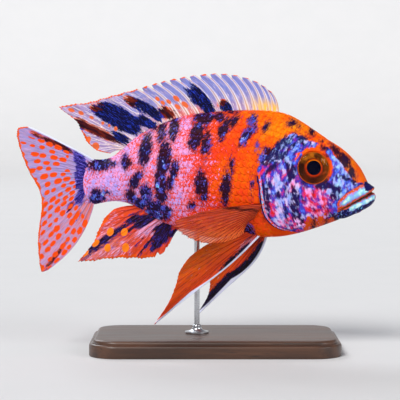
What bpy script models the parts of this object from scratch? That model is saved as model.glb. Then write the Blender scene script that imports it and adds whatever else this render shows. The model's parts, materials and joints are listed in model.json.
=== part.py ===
"""Peacock cichlid: a life-size still model of an orange-blotched male on a small stand.

Metres, +X towards the snout, +Z up, the fish's plane of symmetry at Y = 0.
The origin is the centre of the stand's underside.
"""

import math

import bmesh
import bpy
import numpy as np
from mathutils import Vector

MM = 0.001
GAP = 0.3 * MM

# Side outline of the body without its fins and lips: x and height, in millimetres.
BACK_LINE = [
    (-56, 80.6), (-50.7, 80.3), (-45.3, 80.5), (-40.4, 83.4), (-35.7, 87.8), (-29.3, 92.2),
    (-23.3, 95.0), (-14.3, 98.3), (-4, 99.9), (9, 100.9), (18, 100.9), (26, 100.3), (33, 98.0),
    (42.8, 91.8), (48.7, 87.9), (55.5, 83.0), (58.7, 79.6), (61.9, 75.4), (66, 69.0),
]
BELLY_LINE = [
    (-56, 60.8), (-50.4, 61.2), (-44, 62.5), (-39, 62.3), (-34.9, 61.0), (-27.6, 56.8),
    (-21.7, 53.6), (-14.6, 51.2), (-7.6, 50.3), (0, 49.8), (9.6, 48.7), (18.1, 47.6),
    (22.3, 47.3), (28.6, 47.6), (34.9, 48.9), (41.2, 50.7), (48.3, 53.3), (56.4, 56.3),
    (60.5, 57.8), (66, 60.5),
]
# Half width, and the height where the body is widest, in millimetres.
HALF_WIDTH = [
    (-56, 1.3), (-50, 2.2), (-44, 2.9), (-36, 4.0), (-26, 5.8), (-14, 7.8), (-2, 9.3),
    (10, 10.2), (20, 10.4), (30, 10.3), (40, 9.7), (48, 8.6), (55, 7.2), (61, 5.6), (66, 4.2),
]
WIDEST_HEIGHT = [(-56, 70.7), (-40, 72), (-20, 75), (0, 76), (20, 75), (35, 73), (48, 70), (60, 66), (66, 65)]
# Roundness of the section: 2 is an ellipse, less is a sharper back.
BACK_ROUNDNESS = [(-56, 2.0), (-30, 1.85), (0, 1.8), (30, 1.85), (66, 2.2)]
BELLY_ROUNDNESS = [(-56, 2.0), (0, 2.1), (66, 2.2)]

# The muzzle closes as half an ellipse from MUZZLE_START to MUZZLE_END.
MUZZLE_START = 60.5
MUZZLE_END = 66.0
MUZZLE_HEIGHT = 64.4

# The gill opening parts the head from the trunk: height and x, from the nape to the throat.
GILL_OPENING = [
    (48.3, 37.0), (49.9, 31.5), (51.7, 26.0), (55.5, 21.8), (61, 19.6), (69.4, 18.5),
    (75.3, 18.0), (79, 18.5), (85, 20.6), (92, 24.5), (97, 28.0), (101, 31.0),
]
STALK_START = -41.5
STALK_END = -50.8
STALK_END_BULGE = 4.4
STALK_MIDDLE = 70.7
STALK_HALF_HEIGHT = 10.0

AROUND = 40
HEAD_STATIONS = 24
TRUNK_STATIONS = 20
STALK_STATIONS = 5

EYE_PLACE = (40.7, 76.8)
EYE_RADIUS = 7.3
EYE_DEPTH = 3.7
EYE_INSET = 2.1
NOSTRIL = (55.2, 73.2)
NOSTRIL_RADIUS = 0.55
NOSTRIL_DEPTH = 1.6

LIP_POINTS = 17
UPPER_LIP = {"corner": (52.0, 6.4, 59.7), "front": (65.5, 68.2), "radius": (1.3, 2.0)}
LOWER_LIP = {"corner": (52.2, 6.2, 58.2), "front": (65.8, 62.0), "radius": (1.3, 2.0)}
# The mouth opens forward from its corner; the jaw is parted from the head behind it.
MOUTH_CORNER = (52.8, 59.0)
MOUTH_FRONT = 74.0
MOUTH_UPPER_SLOPE = 0.50
MOUTH_LOWER_SLOPE = 0.38
JAW_HINGE_FOOT = (50.6, 46.0)
CUT_REACH = 15.0

# Gill cover plate: front and rear edges in side view, from top to bottom.
COVER_FRONT = [
    (29.5, 83.0), (29.2, 76.0), (29.6, 70.0), (30.4, 64.0), (32.2, 58.5), (35.5, 54.6), (39.0, 52.9),
]
COVER_REAR = [
    (20.5, 80.6), (17.4, 75.8), (17.9, 69.4), (18.9, 61.6), (21.0, 55.8), (25.4, 52.0), (32.0, 50.2),
]
COVER_THICK = 0.8
COVER_ROWS = 12
COVER_COLUMNS = 7

FIN_RAY_THICK = 1.1
FIN_TIP_THICK = 0.62
FIN_WEB_THICK = 0.5
# Columns of a fin's surface between one ray (0) and the next (1).
WEB_COLUMNS = (0.0, 0.3, 0.7)
SPINE_NOTCH = 0.045

BASE_LENGTH = 104.0
BASE_WIDTH = 58.0
BASE_HEIGHT = 7.0
BASE_CORNER = 12.0
BASE_ROUND = 1.5
ROD_X = -7.6
ROD_RADIUS = 1.5
ROD_FOOT_RADIUS = 5.0
ROD_FOOT_HEIGHT = 2.4

FLESH = (0.86, 0.22, 0.06)
COLOURS = {
    "head": ((0.45, 0.32, 0.62), 0.35),
    "body": (FLESH, 0.38),
    "fin": ((0.80, 0.24, 0.08), 0.4),
    "back_fin": ((0.52, 0.50, 0.85), 0.4),
    "eye": ((0.03, 0.02, 0.05), 0.1),
    "base": ((0.06, 0.045, 0.04), 0.35),
    "rod": ((0.62, 0.63, 0.65), 0.25),
}


def spline(knots, at):
    """Natural cubic spline through the knots, straight beyond its ends."""
    knots = np.asarray(sorted(knots), float)
    x, y = knots.T
    step = np.diff(x)
    size = len(x)
    matrix = np.eye(size)
    right = np.zeros(size)
    for i in range(1, size - 1):
        matrix[i, i - 1:i + 2] = step[i - 1], 2 * (step[i - 1] + step[i]), step[i]
        right[i] = 6 * ((y[i + 1] - y[i]) / step[i] - (y[i] - y[i - 1]) / step[i - 1])
    bend = np.linalg.solve(matrix, right)
    at = np.asarray(at, float)
    inside = np.clip(at, x[0], x[-1])
    i = np.clip(np.searchsorted(x, inside) - 1, 0, size - 2)
    left, gone = x[i + 1] - inside, inside - x[i]
    value = (
        (bend[i] * left**3 + bend[i + 1] * gone**3) / (6 * step[i])
        + (y[i] / step[i] - bend[i] * step[i] / 6) * left
        + (y[i + 1] / step[i] - bend[i + 1] * step[i] / 6) * gone
    )
    slope = (
        (bend[i + 1] * gone**2 - bend[i] * left**2) / (2 * step[i])
        + (y[i + 1] - y[i]) / step[i]
        - step[i] * (bend[i + 1] - bend[i]) / 6
    )
    return value + slope * (at - inside)


def section(x):
    """Sizes of the body's cross-section at x, all in millimetres."""
    x = np.asarray(x, float)
    closing = np.clip((x - MUZZLE_START) / (MUZZLE_END - MUZZLE_START), 0, 1)
    shrink = np.sqrt(1 - closing**2)
    top = MUZZLE_HEIGHT + (spline(BACK_LINE, x) - MUZZLE_HEIGHT) * shrink
    bottom = MUZZLE_HEIGHT + (spline(BELLY_LINE, x) - MUZZLE_HEIGHT) * shrink
    middle = MUZZLE_HEIGHT + (spline(WIDEST_HEIGHT, x) - MUZZLE_HEIGHT) * shrink
    wide = spline(HALF_WIDTH, x) * shrink
    return top, bottom, middle, wide, spline(BACK_ROUNDNESS, x), spline(BELLY_ROUNDNESS, x)


def skin_point(x, angle):
    """Point on the skin at x, where the angle runs from the back (0) down the left side to the belly."""
    top, bottom, middle, wide, upper, lower = section(x)
    up, out = np.cos(angle), np.sin(angle)
    power = 2 / np.where(up >= 0, upper, lower)
    height = np.where(up >= 0, top - middle, middle - bottom)
    z = middle + np.sign(up) * height * np.abs(up) ** power
    y = np.sign(out) * wide * np.abs(out) ** power
    return np.stack(np.broadcast_arrays(x, y, z), -1)


def flank(x, z):
    """Distance of the skin from the plane of symmetry at x and height z."""
    top, bottom, middle, wide, upper, lower = section(x)
    above = z >= middle
    height = np.where(above, top - middle, middle - bottom)
    power = np.where(above, upper, lower)
    ratio = np.clip(np.abs(z - middle) / np.maximum(height, 1e-6), 0, 1)
    return wide * (1 - ratio**power) ** (1 / power)


def underside(x, y):
    """Height of the belly's skin at x and distance y from the plane of symmetry."""
    _, bottom, middle, wide, _, lower = section(x)
    ratio = np.clip(np.abs(y) / wide, 0, 1)
    return middle - (middle - bottom) * (1 - ratio**lower) ** (1 / lower)


def gill_cut(side):
    """Parting curve at the gill opening, moved half a gap forward (side 1) or backward (side -1)."""
    def cut(z):
        step = 0.05
        slope = (spline(GILL_OPENING, z + step) - spline(GILL_OPENING, z - step)) / (2 * step)
        return spline(GILL_OPENING, z) + side * 0.5 * GAP / MM * np.sqrt(1 + slope**2)

    return cut


def plane_cut(x, side):
    """Flat parting plane, moved half a gap forward or backward."""
    return lambda z: np.full_like(np.asarray(z, float), x + side * 0.5 * GAP / MM)


def stalk_end(z):
    """Rear edge of the tail stalk, which bulges between the rays of the tail fin."""
    ratio = np.clip(np.abs(z - STALK_MIDDLE) / STALK_HALF_HEIGHT, 0, 1)
    return STALK_END - STALK_END_BULGE * (1 - ratio**2)


def on_cut(cut, angles):
    """The x at which each row of the skin meets a parting curve, found by repeated halving steps."""
    x = cut(np.full_like(angles, STALK_MIDDLE))
    for _ in range(60):
        x = 0.5 * x + 0.5 * cut(skin_point(x, angles)[..., 2])
    return x


def material(name):
    """Principled material of one of the named colours."""
    found = bpy.data.materials.get(name)
    if found:
        return found
    made = bpy.data.materials.new(name)
    made.use_nodes = True
    shader = made.node_tree.nodes["Principled BSDF"]
    colour, rough = COLOURS[name]
    shader.inputs["Base Color"].default_value = (*colour, 1)
    shader.inputs["Roughness"].default_value = rough
    shader.inputs["Metallic"].default_value = 0.9 if name == "rod" else 0.0
    made.diffuse_color = (*colour, 1)
    return made


def add_object(name, mesh, collection, look=None, smooth=True):
    """Named object for a mesh, in a collection, with its material."""
    obj = bpy.data.objects.new(name, mesh)
    collection.objects.link(obj)
    if look:
        mesh.materials.append(material(look))
    if smooth:
        mesh.shade_smooth()
        mesh.set_sharp_from_angle(angle=math.radians(50))
    return obj


def mesh_from(name, points, faces):
    """Mesh from points in millimetres and faces."""
    mesh = bpy.data.meshes.new(name)
    mesh.from_pydata([tuple(p) for p in np.asarray(points, float) * MM], [], faces)
    mesh.update()
    return mesh


def body_piece(name, front, rear, stations, look, collection):
    """Length of the body between two parting curves, or from the muzzle's tip if front is None."""
    angles = np.arange(AROUND) * 2 * math.pi / AROUND
    back = on_cut(rear, angles)
    if front is None:
        share = (np.arange(1, stations + 1) / stations) ** 1.5
        ahead = np.full(AROUND, MUZZLE_END)
    else:
        share = np.arange(stations + 1) / stations
        ahead = on_cut(front, angles)
    rings = [skin_point(ahead + (back - ahead) * s, angles) for s in share]
    points = [tuple(p) for ring in rings for p in ring]
    faces = []
    for k in range(len(rings) - 1):
        for j in range(AROUND):
            after = (j + 1) % AROUND
            faces.append((k * AROUND + j, k * AROUND + after, (k + 1) * AROUND + after, (k + 1) * AROUND + j))
    if front is None:
        tip = len(points)
        points.append((MUZZLE_END, 0, MUZZLE_HEIGHT))
        faces += [(tip, (j + 1) % AROUND, j) for j in range(AROUND)]
    else:
        faces += end_strip(0, turned=True)
    faces += end_strip((len(rings) - 1) * AROUND, turned=False)
    return add_object(name, mesh_from(name, points, faces), collection, look)


def end_strip(first, turned):
    """Faces across a parting face, each joining the left and right skin at one height."""
    half = AROUND // 2
    faces = [(first, first + 1, first + AROUND - 1)]
    for j in range(1, half - 1):
        faces.append((first + j, first + j + 1, first + AROUND - j - 1, first + AROUND - j))
    faces.append((first + half - 1, first + half, first + half + 1))
    return [tuple(reversed(f)) for f in faces] if turned else faces


def apply_boolean(obj, operation, other=None, group=None):
    """Applies a Boolean with one object or with all objects of a collection, which are then removed."""
    change = obj.modifiers.new("join", "BOOLEAN")
    change.operation = operation
    change.solver = "EXACT"
    if group:
        change.operand_type = "COLLECTION"
        change.collection = group
    else:
        change.object = other
    bpy.context.view_layer.update()
    graph = bpy.context.evaluated_depsgraph_get()
    mesh = bpy.data.meshes.new_from_object(obj.evaluated_get(graph))
    obj.modifiers.clear()
    old = obj.data
    obj.data = mesh
    bpy.data.meshes.remove(old)
    for used in list(group.objects) if group else [other]:
        bpy.data.objects.remove(used)


def keep_largest(obj):
    """Keeps only the largest closed surface of the mesh."""
    work = bmesh.new()
    work.from_mesh(obj.data)
    left = set(work.verts)
    pieces = []
    while left:
        reached = {left.pop()}
        fresh = set(reached)
        while fresh:
            fresh = {e.other_vert(v) for v in fresh for e in v.link_edges} - reached
            reached |= fresh
        left -= reached
        pieces.append(reached)
    pieces.sort(key=len)
    for piece in pieces[:-1]:
        bmesh.ops.delete(work, geom=list(piece), context="VERTS")
    work.to_mesh(obj.data)
    work.free()


def lip(name, sizes, collection):
    """Tapered round lip that bends from one corner of the mouth round the muzzle to the other."""
    corner, front, radius = sizes["corner"], sizes["front"], sizes["radius"]
    curve = bpy.data.curves.new(name, "CURVE")
    curve.dimensions = "3D"
    curve.bevel_depth = MM
    curve.bevel_resolution = 2
    curve.use_fill_caps = True
    line = curve.splines.new("POLY")
    line.points.add(LIP_POINTS - 1)
    for point, turn in zip(line.points, np.linspace(-1, 1, LIP_POINTS)):
        ahead = math.cos(turn * math.pi / 2) ** 0.85
        x = corner[0] + (front[0] - corner[0]) * ahead
        z = corner[2] + (front[1] - corner[2]) * ahead
        y = corner[1] * math.sin(turn * math.pi / 2)
        point.co = (x * MM, y * MM, z * MM, 1)
        point.radius = radius[0] + (radius[1] - radius[0]) * ahead
    source = bpy.data.objects.new(name + "_line", curve)
    collection.objects.link(source)
    bpy.context.view_layer.update()
    mesh = bpy.data.meshes.new_from_object(source.evaluated_get(bpy.context.evaluated_depsgraph_get()))
    work = bmesh.new()
    work.from_mesh(mesh)
    bmesh.ops.remove_doubles(work, verts=work.verts, dist=1e-6)
    bmesh.ops.recalc_face_normals(work, faces=work.faces)
    work.to_mesh(mesh)
    work.free()
    bpy.data.objects.remove(source)
    return add_object(name, mesh, collection)


def flank_normal(x, z):
    """Direction that points straight out of the left flank at x and height z."""
    step = 0.1
    across = flank(x - step, z) - flank(x + step, z)
    upward = flank(x, z - step) - flank(x, z + step)
    normal = np.stack(np.broadcast_arrays(across, 2 * step, upward), -1)
    return normal / np.linalg.norm(normal, axis=-1, keepdims=True)


def lens(name, centre, direction, radius, depth, collection, look=None, segments=24, rings=12):
    """Sphere flattened to a half depth along a direction, in millimetres."""
    work = bmesh.new()
    bmesh.ops.create_uvsphere(work, u_segments=segments, v_segments=rings, radius=MM)
    bmesh.ops.scale(work, verts=work.verts, vec=(radius, radius, depth))
    turn = Vector(direction).to_track_quat("Z", "X").to_matrix()
    bmesh.ops.rotate(work, verts=work.verts, matrix=turn)
    bmesh.ops.translate(work, verts=work.verts, vec=[c * MM for c in centre])
    mesh = bpy.data.meshes.new(name)
    work.to_mesh(mesh)
    work.free()
    return add_object(name, mesh, collection, look)


def prism(name, outline, half_depth, collection):
    """Closed block with an outline in side view, which reaches half_depth to either side."""
    count = len(outline)
    points = [(x, side * half_depth, z) for side in (-1, 1) for x, z in outline]
    faces = [tuple(range(count)), tuple(reversed(range(count, 2 * count)))]
    faces += [(i, i + count, (i + 1) % count + count, (i + 1) % count) for i in range(count)]
    mesh = mesh_from(name, points, faces)
    work = bmesh.new()
    work.from_mesh(mesh)
    bmesh.ops.recalc_face_normals(work, faces=work.faces)
    work.to_mesh(mesh)
    work.free()
    return add_object(name, mesh, collection, smooth=False)


def jaw_outline(inset):
    """Side view of the space that the lower jaw takes, drawn in by inset."""
    corner_x, corner_z = MOUTH_CORNER
    slope = MOUTH_LOWER_SLOPE if inset else MOUTH_UPPER_SLOPE
    front_z = corner_z - inset + slope * (MOUTH_FRONT - corner_x)
    foot_x, foot_z = JAW_HINGE_FOOT
    hinge = [(foot_x + inset, foot_z), (corner_x + inset, corner_z - inset)]
    return hinge + [(MOUTH_FRONT, front_z), (MOUTH_FRONT, foot_z)]


def on_flank(place, side, outward):
    """Point at (x, z) on the left (1) or right (-1) flank, moved outward, and the outward direction there."""
    x, z = place
    direction = flank_normal(x, z)
    point = np.array([x, float(flank(x, z)), z]) + outward * direction
    mirror = np.array([1, side, 1])
    return point * mirror, direction * mirror


def eye_lens(name, side, more, collection, look=None):
    """Eyeball of one side, made larger by more millimetres for its socket."""
    centre, direction = on_flank(EYE_PLACE, side, -EYE_INSET)
    return lens(name, centre, direction, EYE_RADIUS + more, EYE_DEPTH + more, collection, look)


def build_head(model, cutters):
    """Head with lips, nostrils and eye sockets, and the lower jaw parted from it along the mouth."""
    head = body_piece("head", None, gill_cut(1), HEAD_STATIONS, "head", model)
    lips = bpy.data.collections.new("lips")
    bpy.context.scene.collection.children.link(lips)
    lip("upper_lip", UPPER_LIP, lips)
    lip("lower_lip", LOWER_LIP, lips)
    apply_boolean(head, "UNION", group=lips)
    bpy.data.collections.remove(lips)
    for side in (-1, 1):
        socket = eye_lens("eye_socket", side, GAP / MM, cutters)
        apply_boolean(head, "DIFFERENCE", socket)
        place, direction = on_flank(NOSTRIL, side, 0.0)
        depth = NOSTRIL_DEPTH * NOSTRIL_RADIUS
        nostril = lens("nostril", place, direction, NOSTRIL_RADIUS, depth, cutters, segments=8, rings=6)
        apply_boolean(head, "DIFFERENCE", nostril)
    jaw = head.copy()
    jaw.data = head.data.copy()
    jaw.name = "lower_jaw"
    model.objects.link(jaw)
    apply_boolean(head, "DIFFERENCE", prism("jaw_space", jaw_outline(0.0), CUT_REACH, cutters))
    apply_boolean(jaw, "INTERSECT", prism("jaw_block", jaw_outline(GAP / MM), CUT_REACH, cutters))
    keep_largest(head)
    keep_largest(jaw)


def build_eyes(model):
    """Eyes, each a flattened ball that stands a little proud of the head."""
    eye_lens("eye_right", -1, 0.0, model, "eye")
    eye_lens("eye_left", 1, 0.0, model, "eye")


def thick_sheet(name, points, thick, look, collection):
    """Closed sheet from a grid of points in its middle plane and the thickness at each, in millimetres."""
    rows, columns = points.shape[:2]
    number = np.arange(rows * columns).reshape(rows, columns)
    faces = []
    for i in range(rows - 1):
        for j in range(columns - 1):
            a, b, c, d = number[i, j], number[i + 1, j], number[i + 1, j + 1], number[i, j + 1]
            faces += [(int(a), int(b), int(c)), (int(a), int(c), int(d))]
    obj = add_object(name, mesh_from(name, points.reshape(-1, 3), faces), collection, look)
    most = float(thick.max())
    group = obj.vertex_groups.new(name="thickness")
    for vertex, value in enumerate(thick.reshape(-1)):
        group.add([vertex], float(value) / most, "REPLACE")
    wall = obj.modifiers.new("wall", "SOLIDIFY")
    wall.thickness = most * MM
    wall.offset = 0.0
    wall.vertex_group = group.name
    return obj


def gill_cover(name, side, model):
    """Thin plate over the cheek's rear, thinner towards its free edge, a gap clear of the skin below."""
    across = np.linspace(0, 1, COVER_COLUMNS)
    down = np.linspace(0, 1, COVER_ROWS)
    knot = np.linspace(0, 1, len(COVER_FRONT))
    edges = [
        np.stack([spline(list(zip(knot, [p[k] for p in line])), down) for k in (0, 1)], -1)
        for line in (COVER_FRONT, COVER_REAR)
    ]
    plan = edges[0][:, None] + (edges[1] - edges[0])[:, None] * across[None, :, None]
    x, z = plan[..., 0], plan[..., 1]
    points = np.stack([x, flank(x, z), z], -1) + flank_normal(x, z) * (GAP / MM + 0.55 * COVER_THICK)
    points[..., 1] *= side
    edge = np.minimum(np.minimum(across, 1 - across)[None, :] * 3, np.minimum(down, 1 - down)[:, None] * 5)
    thick = FIN_WEB_THICK + (COVER_THICK - FIN_WEB_THICK) * np.clip(edge, 0, 1)
    return thick_sheet(name, points, thick, "head", model)


def between_rays(values, at):
    """Values of the rays, read in a straight line between one ray and the next."""
    before = np.minimum(at.astype(int), len(values) - 2)
    part = (at - before).reshape((-1,) + (1,) * (values.ndim - 1))
    return values[before] * (1 - part) + values[before + 1] * part


def fan(name, roots, tips, bow, rows, look, model, notch=0.02, wave=0.0):
    """Fin whose rays run from roots to tips, bent by bow millimetres in side view.

    Each ray is a ridge on both faces of the membrane, and thins towards its tip. Behind each ray
    the membrane's edge falls back by notch, a share of the ray's length, until it meets the next.
    """
    rays = len(roots)
    at = np.sort(np.append((np.arange(rays - 1)[:, None] + np.array(WEB_COLUMNS)).reshape(-1), rays - 1))
    part = at - np.floor(at)
    reach = 1 - notch * 2 * part
    share = np.linspace(0, 1, rows)[:, None] * reach[None, :]
    start, end, bent = between_rays(roots, at), between_rays(tips, at), between_rays(bow, at)
    run = end - start
    length = np.linalg.norm(run[:, [0, 2]], axis=1)
    across = np.stack([run[:, 2], np.zeros(len(run)), -run[:, 0]], -1) / length[:, None]
    curve = (4 * share * (1 - share) * bent)[..., None]
    points = start + run * share[..., None] + across * curve
    points[..., 1] += np.sin(at / (rays - 1) * 2 * math.pi) * wave * share**1.5
    ridge = FIN_RAY_THICK + (FIN_TIP_THICK - FIN_RAY_THICK) * share
    thick = np.where(part == 0, ridge, FIN_WEB_THICK)
    return thick_sheet(name, points, thick, look, model)


# Ray number, x and height of the tips that set each fin's outline, in millimetres.
DORSAL_RAYS = 26
DORSAL_SPINES = 15
DORSAL_ROOT = (26.2, -23.0, -40.3)
DORSAL_TIPS = [
    (0, 23.4, 108.4), (2, 17.4, 112.6), (5, 4.4, 116.0), (8, -8.7, 115.4), (11, -21.3, 113.0),
    (14, -33.1, 109.7), (17, -48.3, 105.6), (19, -58.5, 103.6), (20, -65.4, 102.2),
    (21, -60.4, 98.0), (22, -56.8, 93.2), (23, -54.2, 88.0), (24, -49.8, 84.0), (25, -44.0, 82.6),
]
TAIL_RAYS = 18
TAIL_TIPS = [
    (0, -77.5, 94.0), (1, -82.3, 93.4), (2, -83.0, 90.0), (4, -80.7, 81.6), (6, -77.3, 73.8),
    (8, -73.3, 66.0), (9, -72.7, 61.8), (11, -73.6, 53.4), (13, -74.4, 45.0), (15, -73.8, 36.4),
    (16, -73.0, 33.0), (17, -70.6, 33.6),
]
TAIL_BOW = (0.4, 1.4, -3.6)
ANAL_RAYS = 12
ANAL_ROOT = (-14.8, -34.7)
ANAL_TIPS = [
    (0, -19.2, 45.0), (1, -21.4, 41.2), (2, -25.4, 38.8), (4, -37.2, 38.2), (6, -51.0, 37.2),
    (7, -57.7, 37.0), (8, -53.4, 42.4), (9, -49.8, 49.2), (10, -46.8, 55.2), (11, -42.6, 59.2),
]
PELVIC_RAYS = 7
# Front and rear end of each fin's root: x and distance from the plane of symmetry.
PELVIC_ROOT_RIGHT = ((17.8, 2.2), (12.0, 3.6))
PELVIC_ROOT_LEFT = ((21.4, 2.2), (15.0, 3.6))
PELVIC_TIPS_RIGHT = [
    (0, -10.0, 24.6), (1, -25.0, 12.0), (2, -22.4, 16.4), (3, -17.2, 26.4), (4, -15.2, 33.4),
    (5, -10.6, 40.2), (6, -3.4, 45.4),
]
PELVIC_TIPS_LEFT = [
    (0, 7.4, 28.6), (1, -7.3, 13.1), (2, -5.2, 17.4), (3, -2.4, 24.0), (4, -2.6, 29.6),
    (5, -3.0, 36.0), (6, -0.6, 43.6),
]
PELVIC_SPREAD = (11.0, 13.0)
PELVIC_BOW_RIGHT = (-1.5, 0.4)
PELVIC_BOW_LEFT = (-2.8, 0.2)
PECTORAL_RAYS = 14
PECTORAL_ROOT = ((17.6, 61.8), (13.4, 53.4))
PECTORAL_TIPS = [
    (0, -6.0, 59.4), (1, -13.8, 57.0), (2, -17.4, 55.3), (3, -16.6, 53.0), (4, -15.2, 51.2),
    (6, -10.3, 48.0), (8, -4.2, 46.0), (10, 2.8, 46.0), (12, 9.2, 48.0), (13, 11.8, 49.6),
]
PECTORAL_SLOPE = 0.42


def tips_of(knots, rays):
    """Tip of every ray, read from a smooth line through the knots."""
    at = np.arange(rays)
    x = spline([(k[0], k[1]) for k in knots], at)
    z = spline([(k[0], k[2]) for k in knots], at)
    return np.stack([x, np.zeros(rays), z], -1)


def build_dorsal_fin(model):
    """Fin of spines and soft rays that stands along the back."""
    front, change, rear = DORSAL_ROOT
    soft = DORSAL_RAYS - DORSAL_SPINES
    x = np.concatenate([np.linspace(front, change, DORSAL_SPINES), np.linspace(change, rear, soft + 1)[1:]])
    roots = np.stack([x, 0 * x, section(x)[0] + GAP / MM], -1)
    bow = np.where(np.arange(DORSAL_RAYS) < DORSAL_SPINES, 1.2, 0.6)
    tips = tips_of(DORSAL_TIPS, DORSAL_RAYS)
    fan("dorsal_fin", roots, tips, bow, 6, "back_fin", model, SPINE_NOTCH, wave=0.8)


def build_anal_fin(model):
    """Fin behind the vent, with three short spines and soft rays."""
    x = np.linspace(*ANAL_ROOT, ANAL_RAYS)
    roots = np.stack([x, 0 * x, section(x)[1] - GAP / MM], -1)
    bow = np.full(ANAL_RAYS, 0.5)
    fan("anal_fin", roots, tips_of(ANAL_TIPS, ANAL_RAYS), bow, 6, "fin", model, wave=0.5)


def build_tail_fin(model):
    """Hollow-edged tail fin that fans from the end of the stalk, bent a little to one side."""
    end = STALK_HALF_HEIGHT - 0.3
    z = np.linspace(STALK_MIDDLE + end, STALK_MIDDLE - end, TAIL_RAYS)
    roots = np.stack([stalk_end(z) - GAP / MM, 0 * z, z], -1)
    tips = tips_of(TAIL_TIPS, TAIL_RAYS)
    tips[:, 1] = -2.2
    share = np.linspace(-1, 1, TAIL_RAYS)
    top, middle, low = TAIL_BOW
    bow = np.where(share < 0, middle + (top - middle) * share**2, middle + (low - middle) * share**2)
    fan("tail_fin", roots, tips, bow, 7, "back_fin", model)


def build_pelvic_fins(model):
    """Paired fins under the breast, each with a long trailing filament."""
    pairs = (
        ("pelvic_fin_right", -1, PELVIC_ROOT_RIGHT, PELVIC_TIPS_RIGHT, PELVIC_BOW_RIGHT),
        ("pelvic_fin_left", 1, PELVIC_ROOT_LEFT, PELVIC_TIPS_LEFT, PELVIC_BOW_LEFT),
    )
    for name, side, (front, rear), knots, bow in pairs:
        x = np.linspace(front[0], rear[0], PELVIC_RAYS)
        y = np.linspace(front[1], rear[1], PELVIC_RAYS)
        skin = underside(x, y - 0.5 * FIN_RAY_THICK)
        roots = np.stack([x, side * y, skin - 1.2 * GAP / MM], -1)
        tips = tips_of(knots, PELVIC_RAYS)
        tips[:, 1] = side * np.linspace(*PELVIC_SPREAD, PELVIC_RAYS)
        fan(name, roots, tips, np.linspace(*bow, PELVIC_RAYS), 7, "fin", model)


def build_pectoral_fins(model):
    """Paired fans behind the gill covers, held a little away from the flank."""
    (top_x, top_z), (low_x, low_z) = PECTORAL_ROOT
    x = np.linspace(top_x, low_x, PECTORAL_RAYS)
    z = np.linspace(top_z, low_z, PECTORAL_RAYS)
    out = flank(x, z) + 1.3 * GAP / MM + 0.5 * FIN_RAY_THICK
    tips = tips_of(PECTORAL_TIPS, PECTORAL_RAYS)
    reach = np.linalg.norm(tips[:, [0, 2]] - np.stack([x, z], -1), axis=1)
    for name, side in (("pectoral_fin_right", -1), ("pectoral_fin_left", 1)):
        roots = np.stack([x, side * out, z], -1)
        ends = tips.copy()
        ends[:, 1] = side * (out + PECTORAL_SLOPE * reach)
        fan(name, roots, ends, np.full(PECTORAL_RAYS, 0.4), 6, "fin", model)


def build_stand(model):
    """Flat base with rounded corners, and one rod with a round foot up to the belly."""
    work = bmesh.new()
    bmesh.ops.create_cube(work, size=1.0)
    bmesh.ops.scale(work, verts=work.verts, vec=(BASE_LENGTH * MM, BASE_WIDTH * MM, BASE_HEIGHT * MM))
    bmesh.ops.translate(work, verts=work.verts, vec=(0, 0, BASE_HEIGHT / 2 * MM))
    upright = [e for e in work.edges if abs(e.verts[0].co.z - e.verts[1].co.z) > BASE_HEIGHT / 2 * MM]
    bmesh.ops.bevel(work, geom=upright, offset=BASE_CORNER * MM, segments=8, profile=0.5, affect="EDGES")
    rim = [e for e in work.edges if all(v.co.z > (BASE_HEIGHT - 0.1) * MM for v in e.verts)]
    bmesh.ops.bevel(work, geom=rim, offset=BASE_ROUND * MM, segments=3, profile=0.5, affect="EDGES")
    mesh = bpy.data.meshes.new("stand_base")
    work.to_mesh(mesh)
    work.free()
    add_object("stand_base", mesh, model, "base")

    top = float(underside(np.array(ROD_X), 0.0)) - 1.5 * GAP / MM
    foot = BASE_HEIGHT + GAP / MM
    collar = foot + ROD_FOOT_HEIGHT
    profile = [
        (0, top), (ROD_RADIUS, top), (ROD_RADIUS, collar), (ROD_FOOT_RADIUS - 1, collar - 0.4),
        (ROD_FOOT_RADIUS, collar - 1.4), (ROD_FOOT_RADIUS, foot), (0, foot),
    ]
    mesh = bpy.data.meshes.new("stand_rod")
    edges = [(i, i + 1) for i in range(len(profile) - 1)]
    mesh.from_pydata([(r * MM, 0, z * MM) for r, z in profile], edges, [])
    rod = add_object("stand_rod", mesh, model, "rod", smooth=False)
    rod.location.x = ROD_X * MM
    turn = rod.modifiers.new("turn", "SCREW")
    turn.steps = turn.render_steps = 24
    turn.use_merge_vertices = True
    turn.merge_threshold = 1e-5
    turn.use_smooth_shade = True


def main():
    """Clears the scene and builds the fish and its stand."""
    for old in list(bpy.data.objects):
        bpy.data.objects.remove(old)
    model = bpy.data.collections.new("peacock_cichlid")
    cutters = bpy.data.collections.new("cutters")
    for collection in (model, cutters):
        bpy.context.scene.collection.children.link(collection)
    build_head(model, cutters)
    body_piece("trunk", gill_cut(-1), plane_cut(STALK_START, 1), TRUNK_STATIONS, "body", model)
    body_piece("tail_stalk", plane_cut(STALK_START, -1), stalk_end, STALK_STATIONS, "body", model)
    build_eyes(model)
    gill_cover("gill_cover_right", -1, model)
    gill_cover("gill_cover_left", 1, model)
    build_dorsal_fin(model)
    build_anal_fin(model)
    build_tail_fin(model)
    build_pelvic_fins(model)
    build_pectoral_fins(model)
    build_stand(model)


main()
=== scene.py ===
"""Looks of a life-size peacock cichlid model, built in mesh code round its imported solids.

Shapes are worked out in millimetres, with +X towards the snout, +Z up and the fish's plane of
symmetry at Y = 0, and become metres where a mesh is made. The right side is at -Y.
"""

from __future__ import annotations

import json
import logging
import math
from dataclasses import dataclass
from enum import Enum
from types import SimpleNamespace
from typing import Callable, Sequence

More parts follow.
